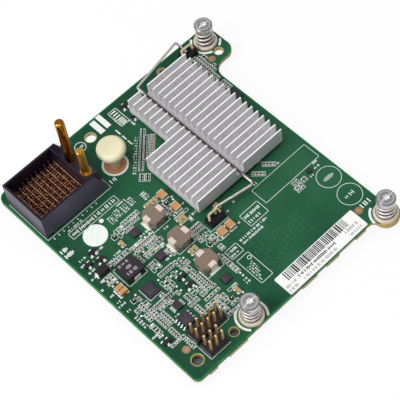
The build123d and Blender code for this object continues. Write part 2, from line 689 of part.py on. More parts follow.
# Two small chips in the open: a sensor near the right edge and one beside the heat sink.
SENSOR_CHIP_X = 78.2
SENSOR_CHIP_Y = 28.2
SENSOR_CHIP_WIDE = 1.5
SENSOR_CHIP_LONG = 1.7
SENSOR_CHIP_TALL = 0.7
with BuildPart() as sensor_chip:
    with BuildSketch(spot(SENSOR_CHIP_X, SENSOR_CHIP_Y)):
        Rectangle(SENSOR_CHIP_WIDE, SENSOR_CHIP_LONG)
    extrude(amount=SENSOR_CHIP_TALL)
sensor_chip.part.label = "sensor_chip"
export_step(sensor_chip.part, "parts/sensor_chip.step")

EDGE_CHIP_X = 83.6
EDGE_CHIP_Y = 68.4
EDGE_CHIP_WIDE = 2.2
EDGE_CHIP_LONG = 4.6
EDGE_CHIP_TALL = 1.0
with BuildPart() as edge_chip:
    with BuildSketch(spot(EDGE_CHIP_X, EDGE_CHIP_Y)):
        Rectangle(EDGE_CHIP_WIDE, EDGE_CHIP_LONG)
    extrude(amount=EDGE_CHIP_TALL)
edge_chip.part.label = "edge_chip"
export_step(edge_chip.part, "parts/edge_chip.step")

# Chips with four bent leads on either side: middle, body size, lead pitch.
LEADED_CHIPS = (
    ("large", 12.3, 18.0, 3.9, 4.9, 1.27, 0.42, 1.5),
    ("small", 13.9, 23.7, 2.7, 3.0, 0.65, 0.30, 0.9),
)
LEAD_ROWS = 4
LEAD_THICK = 0.18
LEAD_REACH = 1.05
LEAD_FOOT = 0.55
for chip_name, chip_x, chip_y, body_x, body_y, lead_pitch, lead_wide, body_tall in LEADED_CHIPS:
    with BuildPart() as leaded_chip:
        with BuildSketch(spot(chip_x, chip_y, LEAD_THICK)):
            Rectangle(body_x, body_y)
        extrude(amount=body_tall - LEAD_THICK)
    leaded_chip.part.label = "leaded_chip_" + chip_name
    export_step(leaded_chip.part, "parts/leaded_chip_" + chip_name + ".step")

    with BuildPart() as chip_leads:
        for side in (-1, 1):
            for row in range(LEAD_ROWS):
                lead_y = chip_y + (row - (LEAD_ROWS - 1) / 2) * lead_pitch
                seat = point(chip_x + side * body_x / 2, lead_y, 0)
                with BuildSketch(Plane(origin=seat, x_dir=(side, 0, 0), z_dir=(0, -side, 0))):
                    lead_high = body_tall / 2
                    bend = LEAD_REACH - LEAD_FOOT
                    with BuildLine():
                        Polyline(
                            (0, lead_high),
                            (bend, lead_high),
                            (bend, LEAD_THICK),
                            (LEAD_REACH, LEAD_THICK),
                            (LEAD_REACH, 0),
                            (bend - LEAD_THICK, 0),
                            (bend - LEAD_THICK, lead_high - LEAD_THICK),
                            (0, lead_high - LEAD_THICK),
                            close=True,
                        )
                    make_face()
                extrude(amount=lead_wide / 2, both=True)
    chip_leads.part.label = "chip_leads_" + chip_name
    export_step(chip_leads.part, "parts/chip_leads_" + chip_name + ".step")

# Three-lead transistors: middle, and on which side the pair of leads is (1 far, -1 near).
TRANSISTORS = (
    (8.0, 58.1, -1),
    (8.0, 54.1, -1),
    (3.9, 55.4, 1),
    (2.8, 16.8, 1),
    (21.7, 30.2, 1),
    (21.5, 26.2, -1),
    (54.3, BOARD_Y - 4.6, -1),
    (54.05, BOARD_Y - 10.4, -1),
)
TRANSISTOR_LONG = 2.9
TRANSISTOR_WIDE = 1.35
TRANSISTOR_TALL = 1.0
TRANSISTOR_LEAD = 0.55
TRANSISTOR_REACH = 0.6
TRANSISTOR_SPREAD = 0.95
TRANSISTOR_LEAD_TALL = 0.5
with BuildPart() as transistors:
    with BuildSketch(spot(0, 0)):
        for tr_x, tr_y, facing in TRANSISTORS:
            with Locations((tr_x, tr_y)):
                Rectangle(TRANSISTOR_LONG, TRANSISTOR_WIDE)
    extrude(amount=TRANSISTOR_TALL)
transistors.part.label = "transistors"
export_step(transistors.part, "parts/transistors.step")

with BuildPart() as transistor_leads:
    with BuildSketch(spot(0, 0)):
        for tr_x, tr_y, facing in TRANSISTORS:
            lead_out = (TRANSISTOR_WIDE + TRANSISTOR_REACH) / 2
            with Locations(
                (tr_x - TRANSISTOR_SPREAD, tr_y + facing * lead_out),
                (tr_x + TRANSISTOR_SPREAD, tr_y + facing * lead_out),
                (tr_x, tr_y - facing * lead_out),
            ):
                Rectangle(TRANSISTOR_LEAD, TRANSISTOR_REACH)
    extrude(amount=TRANSISTOR_LEAD_TALL)
transistor_leads.part.label = "transistor_leads"
export_step(transistor_leads.part, "parts/transistor_leads.step")

# Two-terminal diode at the left edge.
DIODE_X = 5.7
DIODE_Y = 50.4
DIODE_LONG = 4.3
DIODE_WIDE = 2.6
DIODE_TALL = 2.1
DIODE_END = 0.35
DIODE_END_WIDE = 1.5
with BuildPart() as diode:
    with BuildSketch(spot(DIODE_X, DIODE_Y)):
        Rectangle(DIODE_LONG, DIODE_WIDE)
    extrude(amount=DIODE_TALL)
diode.part.label = "diode"
export_step(diode.part, "parts/diode.step")

with BuildPart() as diode_ends:
    with BuildSketch(spot(DIODE_X, DIODE_Y)):
        end_shift = (DIODE_LONG + DIODE_END) / 2
        with Locations((-end_shift, 0), (end_shift, 0)):
            Rectangle(DIODE_END, DIODE_END_WIDE)
    extrude(amount=DIODE_TALL * 0.6)
diode_ends.part.label = "diode_ends"
export_step(diode_ends.part, "parts/diode_ends.step")

# Ceramic chip capacitors in two sizes. Third value: 0 ends near and far, 90 ends left and right.
LARGE_CAPACITORS = (
    (38.4, 57.0, 0),
    (38.4, 50.4, 0),
    (42.3, 32.3, 0),
    (45.8, 32.3, 0),
    (5.1, 41.6, 90),
    (5.1, 39.7, 90),
)
LARGE_CAP_LONG = 3.2
LARGE_CAP_WIDE = 2.5
LARGE_CAP_TALL = 1.8
LARGE_CAP_PAIR_WIDE = 1.6
SMALL_CAPACITORS = (
    (32.2, 57.6, 0),
    (33.9, 57.6, 0),
    (35.6, 57.6, 0),
    (35.8, 45.6, 0),
    (37.5, 45.6, 0),
    (30.5, 34.5, 0),
    (32.2, 34.5, 0),
    (16.9, 53.4, 0),
    (30.9, 13.8, 0),
    (48.1, 41.0, 0),
)
SMALL_CAP_LONG = 2.0
SMALL_CAP_WIDE = 1.25
SMALL_CAP_TALL = 1.0
CAP_END_SHARE = 0.17


def chip_rectangle(x, y, turn, long, wide):
    with Locations((x, y)):
        Rectangle(long if turn else wide, wide if turn else long)


for cap_name, places, long, wide, tall in (
    ("large", LARGE_CAPACITORS, LARGE_CAP_LONG, LARGE_CAP_WIDE, LARGE_CAP_TALL),
    ("small", SMALL_CAPACITORS, SMALL_CAP_LONG, SMALL_CAP_WIDE, SMALL_CAP_TALL),
):
    end_long = long * CAP_END_SHARE
    with BuildPart() as capacitors:
        with BuildSketch(spot(0, 0)):
            for cap_x, cap_y, turn in places:
                cap_wide = LARGE_CAP_PAIR_WIDE if turn else wide
                chip_rectangle(cap_x, cap_y, turn, long - 2 * end_long, cap_wide)
        extrude(amount=tall)
    capacitors.part.label = cap_name + "_capacitors"
    export_step(capacitors.part, "parts/" + cap_name + "_capacitors.step")

    with BuildPart() as capacitor_ends:
        with BuildSketch(spot(0, 0)):
            for cap_x, cap_y, turn in places:
                cap_wide = LARGE_CAP_PAIR_WIDE if turn else wide
                shift = (long - end_long) / 2
                for side in (-shift, shift):
                    end_x = cap_x + side if turn else cap_x
                    end_y = cap_y if turn else cap_y + side
                    chip_rectangle(end_x, end_y, turn, end_long, cap_wide)
        extrude(amount=tall)
    capacitor_ends.part.label = cap_name + "_capacitor_ends"
    export_step(capacitor_ends.part, "parts/" + cap_name + "_capacitor_ends.step")

# Ferrite beads: small black cubes.
FERRITE_BEADS = ((37.3, 53.9), (36.6, 32.4), (16.9, 57.0), (5.6, 35.2), (27.6, 13.1))
BEAD_WIDE = 1.2
BEAD_TALL = 0.9
with BuildPart() as ferrite_beads:
    with BuildSketch(spot(0, 0)):
        with Locations(*FERRITE_BEADS):
            Rectangle(BEAD_WIDE, BEAD_WIDE)
    extrude(amount=BEAD_TALL)
ferrite_beads.part.label = "ferrite_beads"
export_step(ferrite_beads.part, "parts/ferrite_beads.step")

# Rows of chip resistors: first place, heading of the row, step, count, turn of each resistor.
RESISTOR_LONG = 1.0
RESISTOR_WIDE = 0.5
RESISTOR_TALL = 0.38
chip_left = CHIP_X - CHIP_WIDE / 2
chip_far = CHIP_Y + CHIP_WIDE / 2
RESISTOR_ROWS = (
    (6.8, 16.0, 90, 1.07, 4, 0),
    (6.7, 20.9, 90, 1.07, 5, 0),
    (8.9, 20.9, 90, 1.07, 5, 0),
    (4.9, 26.3, 90, 1.15, 3, 0),
    (7.1, 26.4, 90, 1.15, 3, 0),
    (8.9, 28.4, 0, 0.95, 4, 90),
    (12.9, 28.4, 0, 1.0, 4, 90),
    (9.9, 26.7, 0, 1.6, 2, 0),
    (17.2, 29.9, 90, 1.05, 2, 0),
    (6.1, 30.2, 90, 1.1, 3, 0),
    (3.6, 31.6, 0, 1.0, 2, 90),
    (17.6, 35.8, 0, 1.04, 6, 90),
    (24.3, 33.0, 90, 1.25, 3, 90),
    (25.9, 32.7, 90, 1.25, 3, 90),
    (18.4, 22.4, 90, 0.98, 3, 0),
    (17.1, 21.0, 0, 1.45, 3, 90),
    (17.9, 16.7, 90, 1.1, 3, 0),
    (24.8, 21.0, 90, 1.1, 8, 0),
    (26.5, 21.5, 90, 1.05, 6, 0),
    (22.2, 21.0, 0, 1.1, 2, 90),
    (22.2, 18.7, 0, 1.5, 4, 0),
    (26.4, 14.6, 90, 1.5, 2, 0),
    (26.9, 11.5, 0, 1.4, 2, 0),
    (22.2, 58.8, 0, 1.25, 6, 90),
    (24.9, 57.2, 0, 1.1, 3, 90),
    (18.5, 48.6, 0, 1.1, 8, 90),
    (22.2, 46.7, 0, 1.15, 3, 90),
    (26.0, 45.6, 0, 1.0, 2, 90),
    (17.4, 44.0, 90, 1.3, 2, 90),
    (36.3, 38.9, 0, 1.05, 4, 90),
    (36.3, 40.3, 0, 1.05, 4, 90),
    (35.7, 52.2, 90, 1.1, 3, 0),
    (38.0, 32.0, 0, 1.0, 2, 90),
    (71.3, 28.3, 0, 1.6, 2, 90),
    (70.9, 25.3, 90, 1.3, 2, 0),
    (72.4, 25.3, 90, 1.3, 2, 0),
    (74.4, 27.2, 0, 1.0, 2, 90),
    (65.0, 41.0, -45, 1.2, 4, 45),
    (70.0, 41.2, -45, 1.2, 4, 45),
    (chip_left - 12.9, chip_far - 6.0, 45, 1.0, 17, 135),
    (chip_left - 8.9, chip_far - 3.7, 45, 1.0, 10, 135),
    (chip_left - 15.5, chip_far - 9.2, 45, 1.0, 3, 135),
    (chip_left - 14.1, chip_far - 10.6, 45, 1.0, 3, 135),
    (84.4, 78.0, 90, 1.1, 12, 0),
    (85.9, 81.5, 90, 1.1, 8, 0),
    (87.2, 83.0, 90, 1.1, 1, 0),
    (87.3, 87.4, 90, 1.0, 2, 0),
    (84.6, 72.2, 90, 1.1, 4, 0),
)
with BuildPart() as chip_resistors:
    with BuildSketch(spot(0, 0)):
        for row_x, row_y, heading, step, count, turn in RESISTOR_ROWS:
            for number in range(count):
                along = number * step
                chip_x = row_x + along * cos(radians(heading))
                chip_y = row_y + along * sin(radians(heading))
                with Locations((chip_x, chip_y)):
                    Rectangle(RESISTOR_LONG, RESISTOR_WIDE, rotation=turn)
    extrude(amount=RESISTOR_TALL)
chip_resistors.part.label = "chip_resistors"
export_step(chip_resistors.part, "parts/chip_resistors.step")
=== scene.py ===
import math
import random

import bpy
from mathutils import Matrix, Vector


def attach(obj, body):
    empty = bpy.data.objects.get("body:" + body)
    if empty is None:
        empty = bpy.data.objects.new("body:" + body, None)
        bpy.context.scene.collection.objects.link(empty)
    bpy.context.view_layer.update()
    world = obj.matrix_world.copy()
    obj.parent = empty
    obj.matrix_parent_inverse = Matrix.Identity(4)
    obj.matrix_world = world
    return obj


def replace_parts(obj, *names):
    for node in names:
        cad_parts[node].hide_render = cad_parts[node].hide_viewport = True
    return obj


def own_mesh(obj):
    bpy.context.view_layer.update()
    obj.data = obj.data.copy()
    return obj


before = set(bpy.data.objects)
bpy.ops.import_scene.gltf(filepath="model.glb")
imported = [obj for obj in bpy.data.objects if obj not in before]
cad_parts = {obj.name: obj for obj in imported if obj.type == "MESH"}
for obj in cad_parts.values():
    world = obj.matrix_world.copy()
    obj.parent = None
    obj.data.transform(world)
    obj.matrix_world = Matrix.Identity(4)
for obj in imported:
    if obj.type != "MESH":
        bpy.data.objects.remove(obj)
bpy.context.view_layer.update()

# Circuit board. Fibreglass laminate with green solder mask on both faces, routed from a panel
# and broken off along the near edge, where the bare tan laminate shows.
def tint(red, green, blue):
    """A colour as seen on a screen, from 0 to 255, turned into scene light."""
    light = []
    for value in (red, green, blue):
        value = value / 255
        light.append(value / 12.92 if value <= 0.04045 else ((value + 0.055) / 1.055) ** 2.4)
    return (light[0], light[1], light[2], 1.0)


def start_finish(name, roughness, metallic=0.0, specular=0.5):
    finish = bpy.data.materials.new(name)
    finish.use_nodes = True
    shader = finish.node_tree.nodes["Principled BSDF"]
    shader.inputs["Roughness"].default_value = roughness
    shader.inputs["Metallic"].default_value = metallic
    shader.inputs["Specular IOR Level"].default_value = specular
    return finish, finish.node_tree, shader


def body_place(tree):
    return tree.nodes.new("ShaderNodeTexCoord").outputs["Object"]


def grain(tree, size, detail=2.0, stretch=None):
    """Noise of a given grain size in millimetres, as a value around one half."""
    noise = tree.nodes.new("ShaderNodeTexNoise")
    noise.inputs["Scale"].default_value = 1000.0 / size
    noise.inputs["Detail"].default_value = detail
    place = body_place(tree)
    if stretch:
        scale = tree.nodes.new("ShaderNodeVectorMath")
        scale.operation = "MULTIPLY"
        scale.inputs[1].default_value = stretch
        tree.links.new(place, scale.inputs[0])
        place = scale.outputs["Vector"]
    tree.links.new(place, noise.inputs["Vector"])
    return noise.outputs["Fac"]


def ramp(tree, value, *stops):
    node = tree.nodes.new("ShaderNodeValToRGB")
    while len(node.color_ramp.elements) < len(stops):
        node.color_ramp.elements.new(0.5)
    for element, (at, colour) in zip(node.color_ramp.elements, stops):
        element.position = at
        element.color = colour
    tree.links.new(value, node.inputs["Fac"])
    return node.outputs["Color"]


def bump(tree, shader, value, depth):
    node = tree.nodes.new("ShaderNodeBump")
    node.inputs["Strength"].default_value = 1.0
    node.inputs["Distance"].default_value = depth * 0.001
    tree.links.new(value, node.inputs["Height"])
    tree.links.new(node.outputs["Normal"], shader.inputs["Normal"])


def blend_colours(tree, share, first, second):
    node = tree.nodes.new("ShaderNodeMix")
    node.data_type = "RGBA"
    tree.links.new(share, node.inputs["Factor"])
    for socket, colour in ((node.inputs["A"], first), (node.inputs["B"], second)):
        if isinstance(colour, tuple):
            socket.default_value = colour
        else:
            tree.links.new(colour, socket)
    return node.outputs["Result"]


def dress(finish, *nodes):
    for name in nodes:
        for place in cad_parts[name].material_slots:
            place.material = finish


def part_of(tree, vector, axis):
    split = tree.nodes.new("ShaderNodeSeparateXYZ")
    tree.links.new(vector, split.inputs["Vector"])
    return split.outputs[axis]


def facing(tree, axis):
    """The face's direction along one axis, from -1 to 1."""
    return part_of(tree, tree.nodes.new("ShaderNodeNewGeometry").outputs["True Normal"], axis)


def step_up(tree, value, low, high):
    node = tree.nodes.new("ShaderNodeMapRange")
    node.inputs["From Min"].default_value = low
    node.inputs["From Max"].default_value = high
    tree.links.new(value, node.inputs["Value"])
    return node.outputs["Result"]


def either(tree, first, second):
    node = tree.nodes.new("ShaderNodeMath")
    node.operation = "MAXIMUM"
    tree.links.new(first, node.inputs[0])
    tree.links.new(second, node.inputs[1])
    return node.outputs["Value"]


def both_of(tree, first, second):
    node = tree.nodes.new("ShaderNodeMath")
    node.operation = "MULTIPLY"
    tree.links.new(first, node.inputs[0])
    tree.links.new(second, node.inputs[1])
    return node.outputs["Value"]


board_finish, tree, shader = start_finish("solder_mask", 0.36, 0.0, 0.16)
mask = ramp(tree, grain(tree, 22.0, 3.0), (0.3, tint(24, 76, 51)), (0.7, tint(44, 96, 68)))
# the solder mask is darker towards the left and far edges
darker_left = step_up(tree, part_of(tree, body_place(tree), "X"), -0.030, -0.0488)
darker_far = step_up(tree, part_of(tree, body_place(tree), "Y"), 0.038, 0.0518)
mask = blend_colours(tree, either(tree, darker_left, darker_far), mask, tint(25, 67, 47))
fleck = ramp(tree, grain(tree, 1.2), (0.5, (0, 0, 0, 1)), (0.75, (0.22, 0.22, 0.22, 1)))
mask = blend_colours(tree, fleck, mask, tint(48, 106, 75))
edge = ramp(tree, grain(tree, 1.5), (0.3, tint(30, 112, 54)), (0.7, tint(52, 136, 74)))
bare = ramp(tree, grain(tree, 0.8), (0.3, tint(150, 132, 82)), (0.7, tint(196, 178, 124)))
near = step_up(tree, part_of(tree, body_place(tree), "Y"), -0.0460, -0.0464)
ear = step_up(tree, part_of(tree, body_place(tree), "X"), 0.0374, 0.0380)
upper_face = step_up(tree, facing(tree, "Z"), 0.0, 1.0)
level = either(tree, upper_face, step_up(tree, facing(tree, "Z"), 0.0, -1.0))
chipped = both_of(
    tree,
    step_up(tree, grain(tree, 9.0), 0.5, 0.55),
    step_up(tree, part_of(tree, body_place(tree), "Z"), 0.0029, 0.0025),
)
side = blend_colours(tree, either(tree, chipped, either(tree, near, ear)), edge, bare)
tree.links.new(blend_colours(tree, level, side, mask), shader.inputs["Base Color"])
bump(tree, shader, grain(tree, 0.9), 0.004)
dress(board_finish, "circuit_board")


# Printed marks. White ink screen-printed on the solder mask: outlines of the parts, rings round
# the screws and the knob, and rows of plain ticks beside the parts.
CORNER = Vector((-0.0488, -0.0460, 0.0036))


def on_board(x, y, z=0.0):
    """A place measured in millimetres from the board's lower left corner and upper face."""
    return CORNER + Vector((x, y, z)) * 0.001


def corners_of(middle, along, across):
    """The four corners of a rectangle, from its middle and its two half sides."""
    near = [middle - along - across, middle + along - across]
    return near + [middle + along + across, middle - along + across]


class Gather:
    """Flat prints and small blocks that share one material, made into one mesh."""

    def __init__(self):
        self.points = []
        self.faces = []

    def face(self, *corners):
        start = len(self.points)
        self.points.extend(corners)
        self.faces.append(tuple(range(start, start + len(corners))))

    def patch(self, middle, along, across):
        self.face(*corners_of(middle, along, across))

    def block(self, middle, along, across, up):
        """A block standing on middle."""
        low = corners_of(middle, along, across)
        high = [p + up for p in low]
        self.face(*reversed(low))
        self.face(*high)
        for i in range(4):
            j = (i + 1) % 4
            self.face(low[i], low[j], high[j], high[i])

    def ring(self, x, y, z, inner, outer, start=0, end=360):
        steps = max(6, int(abs(end - start) / 6))
        for i in range(steps):
            a = math.radians(start + (end - start) * i / steps)
            b = math.radians(start + (end - start) * (i + 1) / steps)
            corners = []
            for radius, angle in ((inner, a), (outer, a), (outer, b), (inner, b)):
                corners.append(on_board(x + radius * math.cos(angle), y + radius * math.sin(angle), z))
            self.face(*corners)

    def disc(self, x, y, z, radius):
        corners = []
        for i in range(40):
            angle = math.radians(9 * i)
            corners.append(on_board(x + radius * math.cos(angle), y + radius * math.sin(angle), z))
        self.face(*corners)

    def ticks(self, x, y, z, long, tall, heading=0, seed=1, wide=0.2, gap=0.28):
        """A row of plain upright ticks, unevenly spaced and of two heights."""
        chance = random.Random(seed)
        turn = math.radians(heading)
        along = Vector((math.cos(turn), math.sin(turn), 0)) * 0.001
        across = Vector((-math.sin(turn), math.cos(turn), 0)) * 0.001
        at = 0.0
        while at < long:
            start = on_board(x, y, z) + along * at
            reach = across * tall * chance.choice((0.3, 0.5, 0.5))
            self.patch(start + across * tall / 2, along * wide * 0.7, reach)
            at += wide + gap + (0.45 if chance.random() < 0.3 else 0.0)

    def make(self, name, finish, body="card"):
        mesh = bpy.data.meshes.new(name)
        mesh.from_pydata([tuple(p) for p in self.points], [], self.faces)
        mesh.materials.append(finish)
        piece = bpy.data.objects.new(name, mesh)
        bpy.context.collection.objects.link(piece)
        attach(piece, body)
        return piece


PRINT_LIFT = 0.012
white_print = Gather()


def print_line(x0, y0, x1, y1, wide=0.18):
    start = on_board(x0, y0, PRINT_LIFT)
    end = on_board(x1, y1, PRINT_LIFT)
    half = (end - start) / 2
    across = Vector((-half.y, half.x, 0)).normalized() * wide * 0.0005
    white_print.patch((start + end) / 2, half + half.normalized() * wide * 0.0005, across)


def print_box(x0, y0, x1, y1, wide=0.18):
    print_line(x0, y0, x1, y0, wide)
    print_line(x1, y0, x1, y1, wide)
    print_line(x1, y1, x0, y1, wide)
    print_line(x0, y1, x0, y0, wide)


def print_ring(x, y, inner, outer, start=0, end=360):
    white_print.ring(x, y, PRINT_LIFT, inner, outer, start, end)


def print_ticks(x, y, long, tall, heading=0, seed=1, wide=0.2, gap=0.28):
    white_print.ticks(x, y, PRINT_LIFT, long, tall, heading, seed, wide, gap)


# rings round the captive screws and the knob
SCREW_1 = (92.5, 92.6)
SCREW_2 = (27.7, 4.3)
SCREW_3 = (83.6, -1.1)
KNOB_AT = (36.1, 78.0)
RING_INNER = 4.75
RING_OUTER = 5.6
print_ring(*SCREW_1, RING_INNER, RING_OUTER, 124, 254)
print_ring(*SCREW_1, RING_INNER, RING_OUTER, 293, 328)
print_ring(*SCREW_2, RING_INNER, RING_OUTER, -46, 224)
print_ring(*SCREW_3, RING_INNER, RING_OUTER, 112, 180)
print_ring(*KNOB_AT, 3.85, 4.65)
# outline of the stacking connector and the marks before it
print_line(1.0, 72.3, 29.1, 72.3)
print_line(29.1, 72.3, 29.1, 77.0)
print_line(1.0, 72.3, 1.0, 92.4, 0.14)
for i in range(10):
    print_ticks(3.0 + 2.05 * i, 70.9, 0.45, 0.8, 0, 11 + i)
print_ticks(8.0, 69.6, 6.4, 0.8, 0, 31)
print_box(7.2, 66.4, 27.5, 69.3)
print_ticks(8.2, 67.1, 18.2, 1.5, 0, 32, 0.26, 0.42)
white_print.disc(13.1, 62.3, PRINT_LIFT, 4.2)
white_print.disc(18.1, 65.0, PRINT_LIFT, 0.8)
print_ticks(30.4, 73.0, 2.4, 1.7, 0, 33, 0.3, 0.4)
# pin header outlines
print_line(8.5, 2.5, 8.5, 8.2)
print_line(8.5, 2.5, 16.8, 2.5)
print_line(8.5, 8.6, 8.5, 14.3)
print_line(16.9, 8.6, 22.1, 8.6)
print_line(22.1, 8.6, 22.1, 14.3)
# inductor, choke, chip and anchor outlines
for x0, y0, x1, y1 in ((27.0, 48.7, 34.3, 56.4), (27.1, 36.7, 34.4, 44.2), (27.2, 23.6, 34.6, 31.6)):
    print_line(x0, y0, x1, y0)
    print_line(x1, y0, x1, y0 + 1.2)
    print_line(x0, y0, x0, y0 + 4.2)
print_box(8.05, 39.8, 15.9, 48.1)
print_line(9.2, 31.3, 9.2, 36.9)
print_line(9.2, 31.3, 14.0, 31.3)
print_line(40.0, 35.3, 47.8, 35.3)
print_line(40.0, 35.3, 40.0, 41.3)
print_line(35.4, 41.3, 40.0, 41.3)
print_line(36.5, 31.0, 36.5, 38.2)
# empty boxes and test circles on the open right half
print_box(60.0, 29.9, 84.8, 36.8, 0.17)
print_ring(81.1, 21.9, 4.1, 4.28)
print_ring(81.0, 12.3, 4.1, 4.28)
print_ticks(79.2, 21.2, 4.0, 1.4, 0, 54, 0.22, 0.5)
print_ticks(79.1, 11.6, 4.0, 1.4, 0, 55, 0.22, 0.5)
print_box(50.4, 27.3, 58.4, 32.8)
print_ticks(51.2, 30.4, 6.2, 1.2, 0, 41, 0.22, 0.3)
print_ticks(51.2, 28.2, 5.2, 1.2, 0, 42, 0.22, 0.3)
print_box(37.6, 22.8, 42.6, 26.6)
print_ticks(38.2, 24.9, 3.6, 1.0, 0, 43)
print_ticks(38.2, 23.4, 3.2, 0.9, 0, 44)
print_box(38.0, 10.0, 43.0, 21.4)
print_ring(41.9, 19.6, 0.55, 0.75)
for row in range(4):
    print_ticks(39.2 + 0.8 * row, 11.0 + 1.3 * row, 6.4 - row, 0.5, 90, 300 + row, 0.14, 0.18)
print_ticks(44.2, 25.6, 12.0, 0.9, 0, 45)
print_ticks(44.2, 24.1, 9.2, 0.9, 0, 46)
print_ticks(80.2, 5.4, 3.8, 1.8, 0, 47, 0.3, 0.5)
# block marks by the far edge
white_print.patch(on_board(42.0, 93.8, PRINT_LIFT), Vector((0.0011, 0, 0)), Vector((0, 0.0031, 0)))
white_print.patch(on_board(45.0, 94.2, PRINT_LIFT), Vector((0.0010, 0, 0)), Vector((0, 0.0032, 0)))
print_line(45.5, 80.0, 45.5, 81.8, 0.5)
print_line(45.5, 83.0, 45.5, 84.6, 0.5)
print_line(45.5, 86.0, 45.5, 88.0, 0.5)
print_box(48.1, 87.8, 51.6, 95.2, 0.22)
print_ticks(50.9, 88.4, 6.2, 2.2, 90, 48, 0.34, 0.42)
print_ticks(48.6, 87.9, 4.6, 0.9, 90, 49)
print_ticks(52.0, 85.2, 2.4, 0.9, 90, 50)
print_ring(32.6, 92.0, 1.85, 2.1)
print_ticks(31.2, 91.5, 2.6, 1.0, 0, 51)
print_ticks(1.0, 64.8, 2.4, 1.6, 0, 52, 0.3, 0.3)
print_ticks(1.0, 62.4, 3.6, 1.6, 0, 53, 0.3, 0.3)
for i, (x, y) in enumerate(((19.9, 61.1), (22.7, 61.6), (25.7, 61.3), (28.8, 61.8), (33.6, 60.0))):
    for row in range(4):
        print_ticks(x, y + 0.85 * row, 2.2, 0.6, 0, 60 + 7 * i + row, 0.16, 0.2)
print_ticks(25.4, 65.1, 3.4, 0.7, 0, 90)
for row in range(6):
    print_ticks(7.1, 9.0 + 0.92 * row, 1.6, 0.62, 0, 100 + row, 0.16, 0.2)
for row in range(5):
    print_ticks(1.5, 25.4 + 1.15 * row, 1.5, 0.7, 0, 110 + row, 0.16, 0.22)
for row in range(2):
    print_ticks(34.9, 13.2 + 1.35 * row, 1.6, 0.8, 0, 120 + row, 0.18, 0.22)
LONE_TICKS = (
    (0.6, 20.6, 4.6), (2.6, 24.0, 1.6), (12.9, 25.6, 1.9), (10.9, 20.9, 1.6), (2.4, 19.4, 1.4),
    (23.2, 11.2, 1.6), (8.4, 31.0, 1.2), (3.2, 31.2, 1.6), (23.0, 50.6, 3.4), (19.8, 43.9, 2.2),
    (30.4, 47.0, 1.6), (40.2, 54.2, 0.9), (41.0, 49.6, 0.9), (39.0, 44.3, 3.2), (25.2, 42.6, 1.4),
    (12.6, 29.8, 2.2), (9.0, 50.8, 2.6), (12.4, 51.6, 2.4), (0.8, 36.4, 2.4), (0.8, 45.0, 1.2),
    (2.2, 52.6, 2.4), (80.3, 27.2, 2.2), (69.2, 42.6, 1.0), (73.4, 37.6, 0.8), (47.6, 36.6, 2.2),
    (52.8, 37.8, 0.9), (77.2, 25.9, 1.4), (81.4, 29.0, 1.6), (48.4, 30.8, 0.9), (62.2, 37.4, 1.2),
    (37.6, 36.2, 1.4), (22.8, 38.0, 1.2), (3.0, 58.2, 2.4), (2.0, 56.2, 1.4), (5.2, 55.0, 1.4),
    (1.2, 50.2, 1.8), (2.8, 47.4, 1.4), (1.4, 41.2, 1.6), (3.4, 39.4, 2.0), (1.4, 38.0, 1.2),
    (1.6, 33.4, 1.4), (1.8, 28.8, 1.2), (9.8, 57.0, 2.0), (16.8, 57.6, 1.4),
)
for i, (x, y, long) in enumerate(LONE_TICKS):
    print_ticks(x, y, long, 0.85, 0, 200 + i)


def uneven(tree, colour, size=0.6, spread=0.1, stretch=None):
    """One colour that varies a little from place to place, and the noise behind it."""
    low = tuple(c * (1 - spread) for c in colour[:3]) + (1.0,)
    high = tuple(min(1.0, c * (1 + spread)) for c in colour[:3]) + (1.0,)
    value = grain(tree, size, 2.0, stretch)
    return ramp(tree, value, (0.3, low), (0.7, high)), value


def plain_finish(name, colour, roughness, metallic=0.0, specular=0.5, size=0.6, spread=0.1, depth=0.0):
    finish, tree, shader = start_finish(name, roughness, metallic, specular)
    shade, value = uneven(tree, colour, size, spread)
    tree.links.new(shade, shader.inputs["Base Color"])
    if depth:
        bump(tree, shader, value, depth)
    return finish


# the printed piece is made at the end of the last section that prints
print_ink = plain_finish("white_ink", tint(229, 234, 229), 0.6, size=0.5, spread=0.06)

# Bare copper and plating. Gold-plated linings of the four plain holes, bare copper sighting dots in
# rings of bare laminate, the copper pad under the knob, the rows of filled vias, and the brighter
# rim where the solder mask stops short of the routed edge.
HOLE_RIMS = (
    (5.4, 5.6, 1.95, 2.22), (19.9, 4.2, 1.55, 1.82), (37.6, 92.4, 1.95, 2.2), (92.7, 86.1, 1.6, 1.85),
)
BOARD_THICK = 1.6
SIGHT_DOTS = ((5.4, 10.65), (88.7, 85.4), (78.4, 5.9))


def turned(name, x, y, outline, finish, body="card", slot=None, steps=72):
    """A round piece from its half outline of radius and height in millimetres, from below to above."""
    points = []
    rings = []
    for radius, height in outline:
        count = steps if radius else 1
        rings.append([len(points) + i for i in range(count)])
        for i in range(count):
            angle = 2 * math.pi * i / count
            points.append(on_board(x + radius * math.cos(angle), y + radius * math.sin(angle), height))
    faces = []
    for low, high in zip(rings, rings[1:]):
        for i in range(steps):
            j = (i + 1) % steps
            if len(low) == 1:
                faces.append((low[0], high[j], high[i]))
            elif len(high) == 1:
                faces.append((low[i], low[j], high[0]))
            else:
                faces.append((low[i], low[j], high[j], high[i]))
    mesh = bpy.data.meshes.new(name)
    mesh.from_pydata([tuple(p) for p in points], [], faces)
    mesh.polygons.foreach_set("use_smooth", [True] * len(faces))
    mesh.set_sharp_from_angle(angle=math.radians(35))
    mesh.materials.append(finish)
    piece = bpy.data.objects.new(name, mesh)
    bpy.context.collection.objects.link(piece)
    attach(piece, body)
    return piece


